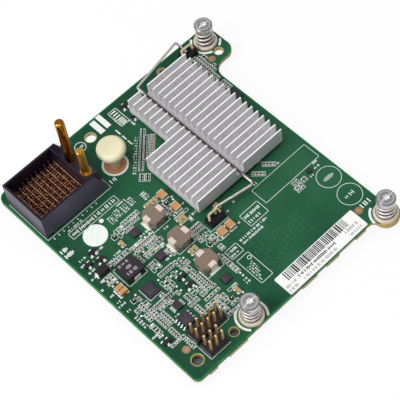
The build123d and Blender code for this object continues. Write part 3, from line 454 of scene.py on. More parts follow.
plating = plain_finish("hole_plating", tint(182, 172, 112), 0.45, 0.3, spread=0.25)
for number, (x, y, hole, rim) in enumerate(HOLE_RIMS, start=1):
    lining = hole - 0.015
    below = -BOARD_THICK - PRINT_LIFT
    lined = ((rim, PRINT_LIFT), (lining, PRINT_LIFT), (lining, below), (rim, below))
    turned("hole_lining_" + str(number), x, y, lined, plating)
copper = Gather()
laminate = Gather()
for x, y in SIGHT_DOTS:
    laminate.ring(x, y, PRINT_LIFT, 0.7, 1.4)
    copper.disc(x, y, PRINT_LIFT, 0.7)
copper.ring(*KNOB_AT, PRINT_LIFT, 2.2, 3.7)
copper.make("bare_copper", plain_finish("bare_copper", tint(202, 138, 96), 0.45, 0.3, spread=0.2))
laminate.ring(73.0, 94.5, PRINT_LIFT, 0.7, 1.9)
laminate.make("bare_laminate", plain_finish("bare_laminate", tint(134, 118, 92), 0.6, spread=0.15))
gold_tab = Gather()
gold_tab.ring(*SCREW_3, PRINT_LIFT, 4.0, 4.68, -160, 40)
gold_tab.make("gold_tab", plain_finish("gold_laminate", tint(170, 146, 66), 0.5, spread=0.2))
vias = Gather()
for column in range(11):
    for row in range(9):
        if (column * 5 + row * 3) % 4:
            vias.disc(44.5 + 1.9 * column, 12.2 + 1.05 * row, PRINT_LIFT, 0.14)
vias.make("filled_vias", plain_finish("filled_via", tint(84, 132, 100), 0.5, spread=0.2))

mask_rim = Gather()
RIM_WIDE = 0.5
for x0, y0, x1, y1 in (
    (0.0, 2.4, RIM_WIDE, 94.4), (3.3, 97.8 - RIM_WIDE, 94.4, 97.8), (86.2 - RIM_WIDE, 6.2, 86.2, 77.2),
    (2.4, 0.0, 77.0, RIM_WIDE), (97.6 - RIM_WIDE, 86.6, 97.6, 94.6), (91.4, 82.4, 93.4, 82.4 + RIM_WIDE),
):
    middle = on_board((x0 + x1) / 2, (y0 + y1) / 2, PRINT_LIFT / 2)
    mask_rim.patch(middle, Vector(((x1 - x0) * 0.0005, 0, 0)), Vector((0, (y1 - y0) * 0.0005, 0)))
ROUND_CORNERS = ((2.2, 2.2, 2.2, 180), (3.2, 94.6, 3.2, 90), (94.6, 94.8, 3.0, 0), (93.6, 86.4, 4.0, 270))
for x, y, radius, start in ROUND_CORNERS:
    mask_rim.ring(x, y, PRINT_LIFT / 2, radius - RIM_WIDE, radius, start, start + 90)
rim_green = plain_finish("bare_green_rim", tint(26, 108, 54), 0.4, specular=0.2, size=2.0, spread=0.2)
mask_rim.make("mask_rim", rim_green)

# Paper label. White self-adhesive paper stuck along the near edge, printed with a row of bars and
# with rows of plain ticks.
LABEL_TOP = 0.12 + PRINT_LIFT
paper = plain_finish("label_paper", tint(241, 241, 240), 0.7, specular=0.3, size=1.5, spread=0.03)
dress(paper, "paper_label")
label_print = Gather()
bars = random.Random(5)
at = 44.6
while at < 71.8:
    wide = bars.choice((0.22, 0.3, 0.42, 0.62))
    middle = on_board(at + wide / 2, 6.05, LABEL_TOP)
    label_print.patch(middle, Vector((wide * 0.0005, 0, 0)), Vector((0, 0.0017, 0)))
    at += wide + bars.choice((0.2, 0.28, 0.4))
label_print.ticks(48.0, 2.7, LABEL_TOP, 17.0, 1.1, 0, 61, 0.26, 0.3)
label_ink = plain_finish("label_ink", tint(30, 28, 30), 0.6, spread=0.1)
label_print.make("label_bars", label_ink)
pale_print = Gather()
pale_print.ticks(48.6, 0.9, LABEL_TOP, 15.0, 1.1, 0, 62, 0.2, 0.3)
pale_print.ticks(42.3, 2.5, LABEL_TOP, 4.2, 1.0, 0, 63, 0.2, 0.28)
pale_print.ticks(42.3, 0.9, LABEL_TOP, 3.6, 1.0, 0, 64, 0.2, 0.28)
pale_print.ticks(69.4, 2.8, LABEL_TOP, 5.4, 1.1, 0, 65, 0.2, 0.28)
pale_print.ticks(70.0, 0.9, LABEL_TOP, 4.8, 1.1, 0, 66, 0.2, 0.28)
pale_print.make("label_ticks", plain_finish("pale_label_ink", tint(150, 148, 150), 0.6, spread=0.1))

# Heat sink. One aluminium extrusion, cut to an L, with a cross groove milled for the clip; the
# drawing lines of the die run along the fins.
sink_finish, tree, shader = start_finish("extruded_aluminium", 0.42, 0.15)
shade, lines = uneven(tree, tint(242, 240, 242), 0.28, 0.18, (0.4, 1.0, 1.0))
height = part_of(tree, body_place(tree), "Z")
# painted shade: the faces turned to -X, the floors between the fins and the outer near face are painted
# darker than the fin sides
ends = step_up(tree, facing(tree, "X"), -0.2, -1.0)
floors = both_of(tree, step_up(tree, height, 0.0090, 0.0085), step_up(tree, facing(tree, "Z"), 0.2, 1.0))
near_face = step_up(tree, part_of(tree, body_place(tree), "Y"), -0.00382, -0.00388)
shade = blend_colours(tree, ends, shade, tint(206, 204, 207))
shade = blend_colours(tree, floors, shade, tint(188, 185, 189))
shade = blend_colours(tree, near_face, shade, tint(196, 198, 201))
# painted highlight: the fin tops, and in scattered spots the feet of the fin ends, are painted near white
fin_tops = step_up(tree, height, 0.01242, 0.01248)
highlight_spots = ramp(tree, grain(tree, 1.6), (0.4, (0.3, 0.3, 0.3, 1)), (0.55, (1, 1, 1, 1)))
fin_feet = both_of(tree, step_up(tree, height, 0.0098, 0.0090), step_up(tree, height, 0.0076, 0.0080))
fin_feet = both_of(tree, both_of(tree, fin_feet, ends), highlight_spots)
painted_highlight = either(tree, fin_tops, fin_feet)
tree.links.new(blend_colours(tree, painted_highlight, shade, tint(252, 251, 252)), shader.inputs["Base Color"])
bump(tree, shader, lines, 0.006)
dress(sink_finish, "heat_sink")

# Controller chip and thermal pad. An epoxy-moulded chip soldered to the board, and the soft grey pad
# pressed between it and the heat sink, which hides both.
def moulded(name, top_colour):
    """Moulded black resin; its sides are painted darker than its upper face, as painted shade."""
    finish, tree, shader = start_finish(name, 0.48)
    top_shade, value = uneven(tree, top_colour, 0.35, 0.14)
    shade = blend_colours(tree, facing(tree, "Z"), tint(15, 12, 17), top_shade)
    tree.links.new(shade, shader.inputs["Base Color"])
    bump(tree, shader, value, 0.004)
    return finish


chip_finish = moulded("moulded_epoxy", tint(48, 41, 52))
dress(chip_finish, "controller_chip")
dress(plain_finish("pad_rubber", tint(120, 120, 124), 0.8, depth=0.01), "thermal_pad")

# Clip and its anchors. A bent spring-steel wire lies in the groove and hooks under two tinned wire
# staples, each set in a black moulded base.
def rounding(tree, axis):
    """The smoothed direction of a round surface along one axis, from -1 to 1."""
    return part_of(tree, tree.nodes.new("ShaderNodeNewGeometry").outputs["Normal"], axis)


wire, tree, shader = start_finish("drawn_wire", 0.22, 0.6)
shade, value = uneven(tree, tint(212, 202, 194), 0.8, 0.15)
along_clip = part_of(tree, body_place(tree), "Y")
crown = step_up(tree, rounding(tree, "Z"), 0.0, 0.9)
painted_glint = ramp(tree, crown, (0.2, tint(112, 102, 98)), (0.6, tint(246, 243, 240)), (1.0, tint(214, 208, 204)))
# painted shade: the wire is painted dark where it lies in the groove; painted highlight: beyond the far end
# of the groove its upper side is painted near white between darker flanks
shade = blend_colours(tree, step_up(tree, along_clip, -0.004, -0.006), tint(84, 76, 73), shade)
shade = blend_colours(tree, step_up(tree, along_clip, 0.042, 0.044), shade, painted_glint)
tree.links.new(shade, shader.inputs["Base Color"])
dress(wire, "sink_clip")
staple_tin = plain_finish("tinned_wire", tint(222, 206, 168), 0.36, 0.4, spread=0.15)
dress(staple_tin, "anchor_staple_near", "anchor_staple_far")
black_plastic = plain_finish("black_moulding", tint(20, 14, 24), 0.42, specular=0.3, depth=0.003)
dress(black_plastic, "anchor_base_near", "anchor_base_far")

# Stacking connector. A dark moulded housing, open at the top; inside stand ten long ground blades
# with a prong at the far end of each, and rows of small plated signal contacts between them.
housing, tree, shader = start_finish("connector_plastic", 0.4)
shade, value = uneven(tree, tint(60, 52, 72), 0.7, 0.2)
# painted light: the faces turned to -Y are painted paler, to look lit
shade = blend_colours(tree, step_up(tree, facing(tree, "Y"), -0.5, -1.0), shade, tint(80, 72, 95))
low = step_up(tree, part_of(tree, body_place(tree), "Z"), 0.0068, 0.0066)
well = both_of(tree, low, step_up(tree, facing(tree, "Z"), 0.5, 1.0))
across = part_of(tree, body_place(tree), "X")
along = part_of(tree, body_place(tree), "Y")
# painted shade: the inner walls of the well are painted nearly black, and the tops of the walls get the same
# dark colour
within = both_of(tree, step_up(tree, across, -0.0469, -0.0467), step_up(tree, across, -0.0257, -0.0259))
within = both_of(tree, within, step_up(tree, along, 0.0275, 0.0277))
within = both_of(tree, within, step_up(tree, along, 0.0464, 0.0462))
rim = both_of(tree, step_up(tree, part_of(tree, body_place(tree), "Z"), 0.0146, 0.0149), facing(tree, "Z"))
shade = blend_colours(tree, either(tree, within, rim), shade, tint(17, 8, 34))
tree.links.new(blend_colours(tree, well, shade, tint(52, 28, 26)), shader.inputs["Base Color"])
bump(tree, shader, value, 0.004)
dress(housing, "connector_housing")
blade_finish, tree, shader = start_finish("blade_gold", 0.45, 0.4)
shade = ramp(tree, grain(tree, 0.7, 2.0), (0.4, tint(122, 74, 60)), (0.62, tint(232, 178, 138)))
# painted shade: the sides of the blades are painted darker than their tops
tree.links.new(blend_colours(tree, facing(tree, "Z"), tint(60, 32, 28), shade), shader.inputs["Base Color"])
dress(blade_finish, "ground_blades")
BLADE_PITCH = 1.88
CONTACT_PITCH = 0.98
contacts = Gather()
for column in range(9):
    for row in range(17):
        for shift in (0.5, 1.05):
            foot = on_board(4.2 + BLADE_PITCH * column + shift, 75.0 + CONTACT_PITCH * row, 3.0)
            tall = 0.0022 if (row + column) % 3 else 0.0019
            contacts.block(foot, Vector((0.00013, 0, 0)), Vector((0, 0.0002, 0)), Vector((0, 0, tall)))
contact_finish, tree, shader = start_finish("contact_gold", 0.45, 0.3)
speck = ramp(tree, grain(tree, 0.5, 2.0), (0.48, tint(92, 48, 42)), (0.56, tint(240, 164, 112)))
# painted shade: the sides of the contacts are painted darker than their tops
tree.links.new(blend_colours(tree, facing(tree, "Z"), tint(52, 26, 24), speck), shader.inputs["Base Color"])
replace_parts(contacts.make("contact_rows", contact_finish), "signal_contacts")
prongs = Gather()
for column in range(10):
    for y, tall in ((91.0, 0.0020), (90.2, 0.0014)):
        foot = on_board(4.0 + BLADE_PITCH * column, y, 5.6)
        prongs.block(foot, Vector((0.0001, 0, 0)), Vector((0, 0.0001, 0)), Vector((0, 0, tall)))
prongs.make("blade_prongs", blade_finish)

# Guide pins. Two turned brass pins, gold plated and pressed into the connector's platform, which
# find the mating card before the contacts meet.
pin_gold = plain_finish("guide_pin_gold", tint(196, 128, 44), 0.18, 0.95, size=1.2, spread=0.25)
LONG_PIN = [(0, 6.3), (1.65, 6.3), (1.65, 28.2)]
for step in range(1, 7):
    angle = math.radians(15 * step)
    LONG_PIN.append((0.85 + 0.8 * math.cos(angle), 28.2 + 0.8 * math.sin(angle)))
LONG_PIN.append((0, 29.0))
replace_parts(turned("long_pin", 25.0, 86.6, LONG_PIN, pin_gold, slot="pin_gold"), "guide_pin_long")
SHORT_PIN = ((0, 5.8), (2.15, 5.8), (2.15, 6.5), (1.95, 6.7), (1.4, 6.7), (1.4, 18.6), (1.1, 18.9), (0, 18.9))
short_gold = plain_finish("short_pin_gold", tint(218, 164, 72), 0.3, 0.75, size=1.2, spread=0.2)
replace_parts(turned("short_pin", 25.5, 79.6, SHORT_PIN, short_gold, slot="pin_gold"), "guide_pin_short")

# Push knob. Moulded in one piece from natural nylon: a rounded cap on a stem, with a barb that snaps
# through a hole in the board.
cream, tree, shader = start_finish("natural_nylon", 0.42)
shade, value = uneven(tree, tint(232, 226, 190), 2.0, 0.03)
# painted shade: the stem under the cap is painted a darker tan
stem = step_up(tree, part_of(tree, body_place(tree), "Z"), 0.0108, 0.0122)
tree.links.new(blend_colours(tree, stem, tint(204, 178, 150), shade), shader.inputs["Base Color"])
KNOB = [(0, -3.6), (2.1, -3.6), (3.0, -1.65), (2.1, -1.65), (2.1, 8.0), (3.95, 8.0)]
for step in range(7):
    angle = math.radians(-90 + 15 * step)
    KNOB.append((3.95 + 1.1 * math.cos(angle), 9.1 + 1.1 * math.sin(angle)))
for step in range(9):
    angle = math.radians(90 / 8 * step)
    KNOB.append((3.45 + 1.6 * math.cos(angle), 9.7 + 1.6 * math.sin(angle)))
KNOB.append((0, 11.3))
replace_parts(turned("knob", *KNOB_AT, KNOB, cream, slot="cream_plastic"), "push_knob")

# Captive screws. Zinc-plated steel heads with a star and slot drive, on steel wire springs, held in
# plated ferrules that are swaged into the board.
def axis_distance(tree, x, y):
    """How far a point lies from an upright axis through a place on the board, in metres."""
    centre = on_board(x, y)
    from_axis = tree.nodes.new("ShaderNodeVectorMath")
    from_axis.operation = "SUBTRACT"
    from_axis.inputs[1].default_value = (centre.x, centre.y, 0.0)
    tree.links.new(body_place(tree), from_axis.inputs[0])
    flat = tree.nodes.new("ShaderNodeVectorMath")
    flat.operation = "MULTIPLY"
    flat.inputs[1].default_value = (1.0, 1.0, 0.0)
    tree.links.new(from_axis.outputs["Vector"], flat.inputs[0])
    length = tree.nodes.new("ShaderNodeVectorMath")
    length.operation = "LENGTH"
    tree.links.new(flat.outputs["Vector"], length.inputs[0])
    return length.outputs["Value"]


COIL_LOW = 0.0042
COIL_HIGH = 0.01055
COIL_RADIUS = 0.00272
COIL_TURNS = 2.9
WIRE_RADIUS = 0.00048


def coil(number, x, y, finish):
    """A round wire spring with closed ends."""
    middle = on_board(x, y)
    low, rise = COIL_LOW + WIRE_RADIUS, COIL_HIGH - COIL_LOW - 2 * WIRE_RADIUS
    steps, sides = int(COIL_TURNS * 40), 14
    points, faces = [], []
    for i in range(steps + 1):
        share = i / steps
        angle = 2 * math.pi * COIL_TURNS * share
        outward = Vector((math.cos(angle), math.sin(angle), 0))
        height = low + rise * min(1, max(0, 1.16 * share - 0.08))
        spine = Vector((middle.x, middle.y, height)) + outward * COIL_RADIUS
        for k in range(sides):
            turn = 2 * math.pi * k / sides
            points.append(spine + (outward * math.cos(turn) + Vector((0, 0, math.sin(turn)))) * WIRE_RADIUS)
    for i in range(steps):
        for k in range(sides):
            here, beside = i * sides + k, i * sides + (k + 1) % sides
            faces.append((here, here + sides, beside + sides, beside))
    faces.append(tuple(range(sides)))
    faces.append(tuple(reversed(range(steps * sides, steps * sides + sides))))
    mesh = bpy.data.meshes.new("coil_spring_" + number)
    mesh.from_pydata([tuple(p) for p in points], [], faces)
    mesh.polygons.foreach_set("use_smooth", [True] * (len(faces) - 2) + [False] * 2)
    mesh.materials.append(finish)
    piece = bpy.data.objects.new("coil_spring_" + number, mesh)
    bpy.context.collection.objects.link(piece)
    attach(piece, "card")
    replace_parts(piece, "screw_spring_" + number)
    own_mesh(piece)


spring_steel, tree, shader = start_finish("spring_wire", 0.3, 0.45)
# painted highlight and shade: the wire is painted near white on its upper side and dark underneath
upper = step_up(tree, rounding(tree, "Z"), -0.7, 0.95)
shade = ramp(
    tree, upper, (0.0, tint(46, 38, 38)), (0.3, tint(128, 114, 112)), (0.52, tint(255, 252, 250)),
    (0.74, tint(236, 228, 224)), (1.0, tint(170, 156, 152)),
)
tree.links.new(shade, shader.inputs["Base Color"])
for number, (x, y) in (("1", SCREW_1), ("2", SCREW_2), ("3", SCREW_3)):
    screw_steel, tree, shader = start_finish("zinc_plate_" + number, 0.28, 0.6)
    height = part_of(tree, body_place(tree), "Z")
    radius = axis_distance(tree, x, y)
    # painted highlights and shade: light and dark bands up the side of the head, darkest at its foot, and
    # light and dark rings across its top
    bands = ramp(
        tree, step_up(tree, height, 0.0098, 0.0134), (0.0, tint(62, 56, 57)), (0.38, tint(118, 114, 116)),
        (0.48, tint(228, 225, 226)), (0.66, tint(166, 163, 165)), (0.84, tint(236, 234, 235)),
        (0.97, tint(136, 134, 136)),
    )
    rim = ramp(
        tree, step_up(tree, radius, 0.0, 0.00325), (0.0, tint(190, 188, 190)), (0.5, tint(158, 156, 158)),
        (0.8, tint(212, 210, 212)), (0.92, tint(120, 118, 120)),
    )
    upward = step_up(tree, facing(tree, "Z"), 0.5, 0.9)
    shade = blend_colours(tree, upward, bands, rim)
    drive_wall = both_of(tree, step_up(tree, radius, 0.0030, 0.0029), step_up(tree, height, 0.0119, 0.0121))
    # painted highlight: the star drive and the floor of the drive are painted white
    star_edge = step_up(tree, radius, 0.0012, 0.0018)
    star = ramp(tree, star_edge, (0.2, tint(255, 255, 255)), (0.5, tint(208, 205, 207)))
    shade = blend_colours(tree, drive_wall, shade, blend_colours(tree, upward, star, rim))
    drive_floor = both_of(tree, upward, both_of(tree, drive_wall, step_up(tree, height, 0.0132, 0.0130)))
    shade = blend_colours(tree, drive_floor, shade, tint(255, 255, 255))
    tree.links.new(shade, shader.inputs["Base Color"])
    bump(tree, shader, grain(tree, 0.9), 0.003)
    dress(screw_steel, "captive_screw_" + number, "screw_ring_" + number)
    coil(number, x, y, spring_steel)
    ferrule_plate, tree, shader = start_finish("ferrule_plate_" + number, 0.26, 0.25)
    # painted highlights and shade: light and dark rings by distance from the screw's axis
    painted_rings = ramp(
        tree, step_up(tree, axis_distance(tree, x, y), 0.0024, 0.0044), (0.0, tint(120, 108, 98)),
        (0.3, tint(214, 202, 188)), (0.42, tint(254, 250, 244)), (0.55, tint(194, 178, 160)),
        (0.72, tint(250, 242, 230)), (0.86, tint(196, 176, 152)), (0.98, tint(244, 230, 208)),
    )
    tree.links.new(painted_rings, shader.inputs["Base Color"])
    dress(ferrule_plate, "screw_ferrule_" + number)

# Pin headers. Square gold-plated pins pressed through glossy black moulded strips and soldered on
# the underside of the board.
header_gold, tree, shader = start_finish("header_gold", 0.24, 0.4)
shade, value = uneven(tree, tint(244, 206, 118), 0.6, 0.3)
# painted shade and highlight: the faces turned to -X are painted dark brown and the pin tips pale
shade = blend_colours(tree, step_up(tree, facing(tree, "X"), 0.0, -1.0), shade, tint(176, 126, 92))
pin_top = step_up(tree, part_of(tree, body_place(tree), "Z"), 0.0112, 0.0120)
tree.links.new(blend_colours(tree, pin_top, shade, tint(246, 210, 160)), shader.inputs["Base Color"])
dress(header_gold, "header_pins_long", "header_pins_short")
strip_black = plain_finish("header_plastic", tint(42, 32, 40), 0.16, depth=0.002)
dress(strip_black, "header_strip_long", "header_strip_short")

# Power inductors. Pressed iron-powder blocks with cut corners; each has two tinned terminals folded
# from its top edge down the side to a foot on the board.
powder, tree, shader = start_finish("pressed_powder", 0.62)
top_shade, value = uneven(tree, tint(124, 107, 92), 0.35, 0.14)
side_shade = ramp(tree, grain(tree, 1.4), (0.35, tint(92, 80, 76)), (0.65, tint(150, 140, 136)))
shade = blend_colours(tree, step_up(tree, facing(tree, "Z"), 0.3, 0.8), side_shade, top_shade)
tree.links.new(shade, shader.inputs["Base Color"])
bump(tree, shader, value, 0.01)
dress(powder, "inductor_1", "inductor_2", "inductor_3")
terminal_tin, tree, shader = start_finish("terminal_tin", 0.45, 0.2)
shade, value = uneven(tree, tint(222, 208, 194), 0.7, 0.08)
# painted light: the faces turned to -Y are painted nearly white, to look lit
near_side = step_up(tree, facing(tree, "Y"), -0.3, -0.9)
tree.links.new(blend_colours(tree, near_side, shade, tint(255, 255, 244)), shader.inputs["Base Color"])
dress(terminal_tin, "inductor_terminals")
solder_pads = Gather()
PAD_LIFT = Vector((0, 0, 0.000018))
FOOT_REACH = 3.9
FOOT_SHORT = 0.0005
FOOT_LONG = 0.0021
for x, y, turned_over in ((30.6, 52.5, False), (30.7, 40.4, False), (30.9, 27.7, True)):
    for way in (-1, 1):
        if turned_over:
            foot, half_x, half_y = on_board(x, y + FOOT_REACH * way), FOOT_LONG, FOOT_SHORT
        else:
            foot, half_x, half_y = on_board(x + FOOT_REACH * way, y), FOOT_SHORT, FOOT_LONG
        solder_pads.block(foot, Vector((half_x, 0, 0)), Vector((0, half_y, 0)), Vector((0, 0, 0.0002)))

# Power chip. A choke moulded in black resin and soldered by two flat tinned terminals, with pale ink
# ticks on its top.
dress(moulded("choke_resin", tint(38, 29, 38)), "power_chip")
dress(terminal_tin, "power_chip_ends")
chip_print = Gather()
CHOKE_TOP = 3.0 + PRINT_LIFT
chip_print.ticks(9.6, 45.6, CHOKE_TOP, 4.4, 1.2, 0, 71, 0.26, 0.26)
chip_print.ticks(11.1, 43.6, CHOKE_TOP, 1.9, 1.2, 0, 72, 0.26, 0.26)
chip_print.ticks(10.0, 41.6, CHOKE_TOP, 4.2, 1.2, 0, 73, 0.26, 0.26)
chip_print.make("chip_marks", plain_finish("pale_chip_ink", tint(160, 150, 158), 0.6, spread=0.1))

# Small chips. Flat epoxy-moulded chips soldered to the board, two of them by bent tinned leads, with
# faint ink ticks on their tops.
dress(chip_finish, "memory_chip", "square_chips", "sensor_chip", "edge_chip")
dress(chip_finish, "leaded_chip_large", "leaded_chip_small")
tin = plain_finish("tinned_end", tint(250, 248, 242), 0.36, 0.15, spread=0.12)
dress(tin, "chip_leads_large", "chip_leads_small")
faint_print = Gather()
for row, long in enumerate((2.2, 2.6, 2.4)):
    faint_print.ticks(10.5, 32.9 + 0.95 * row, 0.8 + PRINT_LIFT, long, 0.5, 0, 80 + row, 0.1, 0.24)
for row in range(3):
    faint_print.ticks(11.2, 16.7 + 0.95 * row, 1.5 + PRINT_LIFT, 2.2, 0.5, 0, 90 + row, 0.1, 0.24)
for x, y in ((22.5, 53.3), (22.5, 40.8), (31.1, 19.4)):
    for row in range(2):
        faint_print.ticks(x - 0.8, y - 0.7 + 0.9 * row, 0.8 + PRINT_LIFT, 1.6, 0.5, 0, 95 + row, 0.1, 0.24)
faint_print.make("faint_chip_marks", plain_finish("faint_chip_ink", tint(96, 88, 98), 0.6, spread=0.1))

# Transistors, diode and beads. Black moulded bodies; the transistors and the diode have short tinned
# leads, soldered to square pads, and each bead sits in a printed outline.
moulded_black = plain_finish("transistor_black", tint(28, 23, 28), 0.45, depth=0.003)
dress(moulded_black, "transistors", "diode", "ferrite_beads")
dress(tin, "transistor_leads", "diode_ends")


def islands(node):
    """The points of each separate body in a node."""
    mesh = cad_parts[node].data
    lead = list(range(len(mesh.vertices)))

    def root(i):
        while lead[i] != i:
            lead[i] = lead[lead[i]]
            i = lead[i]
        return i

    spots = {}
    for vertex in mesh.vertices:
        key = tuple(round(c * 1e7) for c in vertex.co)
        if key in spots:
            lead[root(vertex.index)] = root(spots[key])
        else:
            spots[key] = vertex.index
    for edge in mesh.edges:
        lead[root(edge.vertices[0])] = root(edge.vertices[1])
    groups = {}
    for vertex in mesh.vertices:
        groups.setdefault(root(vertex.index), []).append(vertex.co.copy())
    return list(groups.values())


def pieces_of(node):
    """Middle, half sides and height of each block in a node made of separate upright blocks."""
    blocks = []
    for points in islands(node):
        low = min(p.z for p in points)
        high = max(p.z for p in points)
        foot = []
        for p in points:
            if p.z - low < 1e-6 and all((p - q).length > 1e-6 for q in foot):
                foot.append(p)
        middle = sum(foot, Vector()) / len(foot)
        first = foot[0]
        others = sorted(foot[1:], key=lambda q: (q - first).length)
        short, long = (others[0] - first) / 2, (others[1] - first) / 2
        blocks.append((middle, long, short, Vector((0, 0, high - low))))
    return blocks


bright_solder = Gather()


def solder_under(nodes, margin):
    """A bright solder pad under each block of some nodes, wider than the block by a margin in metres."""
    for node in nodes:
        for middle, long, short, up in pieces_of(node):
            half_long, half_short = long + long.normalized() * margin, short + short.normalized() * margin
            bright_solder.patch(middle + PAD_LIFT, half_long, half_short)


solder_under(("transistor_leads", "diode_ends"), 0.0002)
for middle, long, short, up in pieces_of("ferrite_beads"):
    bright_solder.patch(middle + up + PAD_LIFT, long.normalized() * 0.0002, short.normalized() * 0.0002)
    for way in (-1, 1):
        white_print.patch(middle + PAD_LIFT + short * way * 1.5, long * 1.5, short.normalized() * 0.00008)
        white_print.patch(middle + PAD_LIFT + long * way * 1.5, long.normalized() * 0.00008, short * 1.5)

# Ceramic capacitors. Fired orange and yellow ceramic blocks with tinned ends, soldered to pads that
# show as a bright margin.
dress(plain_finish("orange_ceramic", tint(190, 137, 80), 0.5, size=0.8, spread=0.1), "large_capacitors")
dress(plain_finish("yellow_ceramic", tint(172, 146, 84), 0.5, size=0.6, spread=0.14), "small_capacitors")
cap_tin = plain_finish("capacitor_end", tint(196, 186, 168), 0.4, 0.4, size=0.5, spread=0.12)
dress(cap_tin, "large_capacitor_ends", "small_capacitor_ends")
solder_under(("large_capacitor_ends", "small_capacitor_ends"), 0.00025)
bright_solder.make("bright_solder", plain_finish("bright_solder", tint(246, 246, 240), 0.4, 0.1, spread=0.12))

# Chip resistors. Sub-millimetre ceramic chips with a black glaze and tinned ends, each soldered to
# two pads inside a printed outline.
resistor_glaze = Gather()
resistor_tin = Gather()


def frame_chip(middle, long, short):
    """The two solder pads and the printed outline round one small chip."""
    lift = Vector((0, 0, PRINT_LIFT * 0.001))
    for way in (-1, 1):
        solder_pads.patch(middle + long * way * 1.14 + PAD_LIFT, long * 0.2, short * 0.9)
        white_print.patch(middle + lift + short * way * 2.0, long * 1.75, short.normalized() * 0.00007)
        white_print.patch(middle + lift + long * way * 1.75, long.normalized() * 0.00007, short * 2.0)


def small_chip(body, middle, long, short, up):
    body.block(middle, long * 0.58, short, up)
    for way in (-1, 1):
        resistor_tin.block(middle + long * way * 0.79, long * 0.21, short, up * 0.98)
    frame_chip(middle, long, short)


for middle, long, short, up in pieces_of("chip_resistors"):
    small_chip(resistor_glaze, middle, long, short, up)
glaze = plain_finish("black_glaze", tint(20, 16, 20), 0.5, specular=0.3)
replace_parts(resistor_glaze.make("resistor_glaze", glaze), "chip_resistors")

# Small parts between the rows. The same sub-millimetre chips, some of them tan capacitors, which
# fill the spaces that the larger parts leave in the crowded corners of the board.
CROWDED = (
    (2.6, 14.0, 8.8, 33.0, 0, 401), (15.8, 15.0, 29.5, 26.0, 0, 402), (15.4, 26.0, 29.0, 37.5, 90, 403),
    (16.8, 43.0, 27.0, 51.0, 0, 404), (18.0, 55.2, 26.8, 60.4, 90, 405), (34.8, 30.5, 41.4, 41.0, 90, 406),
    (35.0, 46.8, 41.2, 56.0, 0, 407), (81.2, 70.8, 85.4, 90.0, 90, 408), (3.4, 43.4, 7.8, 48.6, 0, 409),
    (16.8, 37.6, 27.0, 43.0, 90, 410), (22.6, 9.0, 34.0, 17.6, 0, 412), (8.4, 49.2, 17.4, 53.0, 90, 413),
    (4.2, 33.4, 8.6, 39.0, 90, 414), (34.6, 40.8, 39.6, 46.4, 90, 415), (12.2, 24.6, 16.0, 31.0, 0, 416),
    (34.9, 15.8, 37.3, 28.4, 0, 417), (37.4, 27.6, 40.0, 30.4, 0, 418),
)
tan_ceramic = Gather()
filler_glaze = Gather()
test_dots = Gather()
taken = [(41.65, 42.1, 80.1, 67.1), (53.2, 67.1, 80.1, 88.8)]
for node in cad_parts:
    if node not in ("circuit_board", "heat_sink", "sink_clip", "controller_chip", "thermal_pad"):
        for points in islands(node):
            xs = [(p.x - CORNER.x) * 1000 for p in points]
            ys = [(p.y - CORNER.y) * 1000 for p in points]
            taken.append((min(xs), min(ys), max(xs), max(ys)))
CELL_LONG = 1.0
CELL_SHORT = 0.62
CHIP_LONG = 0.001
CHIP_SHORT = 0.0005
CAPACITOR_TALL = Vector((0, 0, 0.00045))
RESISTOR_TALL = Vector((0, 0, 0.00036))
for x0, y0, x1, y1, turn, seed in CROWDED:
    chance = random.Random(seed)
    half_x, half_y = (CELL_SHORT, CELL_LONG) if turn else (CELL_LONG, CELL_SHORT)
    x = x0 + half_x
    while x < x1 - half_x:
        y = y0 + half_y
        while y < y1 - half_y:
            left, right, near, far = x - half_x, x + half_x, y - half_y, y + half_y
            free = all(right < a or left > c or far < b or near > d for a, b, c, d in taken)
            if free and chance.random() < 0.8:
                along, across = Vector((1, 0, 0)), Vector((0, 1, 0))
                if turn:
                    along, across = across, along
                half_long, half_short = along * CHIP_LONG / 2, across * CHIP_SHORT / 2
                kind = chance.random()
                place = on_board(x, y)
                if kind < 0.16:
                    small_chip(tan_ceramic, place, half_long, half_short, CAPACITOR_TALL)
                elif kind < 0.72:
                    body = resistor_tin if kind < 0.25 else tan_ceramic if kind < 0.3 else filler_glaze
                    small_chip(body, place, half_long, half_short, RESISTOR_TALL)
                else:
                    frame_chip(place, half_long, half_short)
            elif free:
                test_dots.disc(x, y, PRINT_LIFT * 2, 0.36)
            y += 2 * half_y
        x += 2 * half_x
test_dots.make("test_dots", tin)
SLANT = Vector((1, 1, 0)).normalized()
SQUARE_TO_SLANT = Vector((1, -1, 0)).normalized()
for i in range(8):
    place = on_board(47.6 + 0.72 * i, 72.2 + 0.72 * i)
    small_chip(tan_ceramic, place, SQUARE_TO_SLANT * CHIP_LONG / 2, SLANT * CHIP_SHORT / 2, CAPACITOR_TALL)
for i in range(14):
    print_ticks(38.6 + 0.78 * i, 70.4 + 0.78 * i, 1.2, 0.6, 135, 500 + i, 0.15, 0.18)
tan_ceramic.make("tan_capacitors", plain_finish("tan_ceramic", tint(176, 146, 106), 0.5, spread=0.15))
filler_glaze.make("filler_resistors", glaze)
# the tinned ends, pads and prints that several sections add to are complete here
resistor_tin.make("resistor_ends", tin)
pad_finish, tree, shader = start_finish("soldered_pad", 0.42, 0.3)
shade, value = uneven(tree, tint(98, 99, 89), 0.6, 0.3)
heaped = step_up(tree, part_of(tree, body_place(tree), "Z"), 0.00364, 0.00372)
tree.links.new(blend_colours(tree, heaped, shade, tint(224, 226, 214)), shader.inputs["Base Color"])
solder_pads.make("solder_pads", pad_finish)
white_print.make("printed_marks", print_ink)

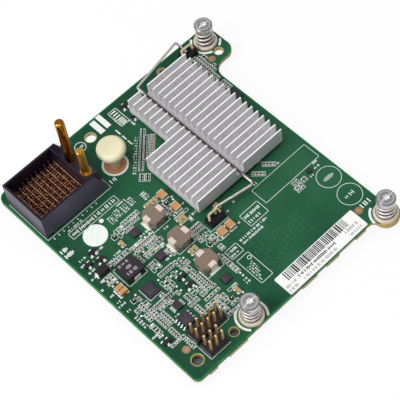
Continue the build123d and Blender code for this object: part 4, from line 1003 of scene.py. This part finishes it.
# Stage. A pale floor under soft studio light, with the camera where the photograph was taken. The
# open floor looks white and keeps part of the card's shadow; under the card it stays dark.
floor_mesh = bpy.data.meshes.new("floor")
floor_mesh.from_pydata([(-3, -3, 0), (3, -3, 0), (3, 3, 0), (-3, 3, 0)], [], [(0, 1, 2, 3)])
floor = bpy.data.objects.new("floor", floor_mesh)
bpy.context.collection.objects.link(floor)
floor_finish, tree, shader = start_finish("pale_floor", 0.9, 0.0, 0.2)
# painted shadow: ambient occlusion darkens the floor's colour near and under the card
nearby = tree.nodes.new("ShaderNodeAmbientOcclusion")
nearby.inputs["Distance"].default_value = 0.02
floor_shade = ramp(tree, nearby.outputs["AO"], (0.25, (0.17, 0.16, 0.17, 1)), (0.9, (0.86, 0.86, 0.86, 1)))
tree.links.new(floor_shade, shader.inputs["Base Color"])


def outside(tree, axis, middle, reach):
    """Nought under the card, one beyond the reach along one axis."""
    place = part_of(tree, body_place(tree), axis)
    below = step_up(tree, place, middle - reach + 0.001, middle - reach)
    return either(tree, below, step_up(tree, place, middle + reach - 0.001, middle + reach))


glow = tree.nodes.new("ShaderNodeEmission")
glow.inputs["Strength"].default_value = 1.0
rays = tree.nodes.new("ShaderNodeLightPath")
seen = either(tree, rays.outputs["Is Camera Ray"], rays.outputs["Is Glossy Ray"])
seen = either(tree, seen, rays.outputs["Is Transmission Ray"])
CARD_REACH = 0.0420
open_floor = either(tree, outside(tree, "X", -0.0050, CARD_REACH), outside(tree, "Y", -0.0020, CARD_REACH))
GLOW_SHARE = 0.92
most = step_up(tree, both_of(tree, seen, open_floor), 0.0, 1.0 / GLOW_SHARE)
both = tree.nodes.new("ShaderNodeMixShader")
tree.links.new(most, both.inputs["Fac"])
tree.links.new(shader.outputs["BSDF"], both.inputs[1])
tree.links.new(glow.outputs["Emission"], both.inputs[2])
tree.links.new(both.outputs["Shader"], tree.nodes["Material Output"].inputs["Surface"])
floor_mesh.materials.append(floor_finish)

world = bpy.data.worlds.new("studio")
bpy.context.scene.world = world
world.use_nodes = True
world.node_tree.nodes["Background"].inputs["Color"].default_value = (1, 1, 1, 1)
world.node_tree.nodes["Background"].inputs["Strength"].default_value = 0.34


def soft_lamp(name, place, target, size, power):
    lamp = bpy.data.lights.new(name, "AREA")
    lamp.size = size
    lamp.energy = power
    holder = bpy.data.objects.new(name, lamp)
    holder.location = place
    aim = Vector(target) - Vector(place)
    holder.rotation_euler = aim.to_track_quat("-Z", "Y").to_euler()
    bpy.context.collection.objects.link(holder)


soft_lamp("key_lamp", (-0.55, 0.16, 0.48), (0, 0, 0), 0.45, 4.2)
soft_lamp("top_lamp", (-0.22, -0.10, 0.80), (0, 0, 0), 0.4, 2.75)

camera = bpy.data.cameras.new("camera")
camera.sensor_width = 36.0
camera.lens = 132.80
camera.clip_start = 0.01
eye = bpy.data.objects.new("camera", camera)
right = Vector((0.71861, -0.68840, -0.09854))
up = Vector((0.62830, 0.58197, 0.51628))
back = Vector((-0.29806, -0.43292, 0.85073))
turn = Matrix((right, up, back)).transposed().to_4x4()
eye.matrix_world = Matrix.Translation((-0.14788, -0.20981, 0.41746)) @ turn
bpy.context.collection.objects.link(eye)
bpy.context.scene.camera = eye
bpy.context.scene.view_settings.view_transform = "Standard"
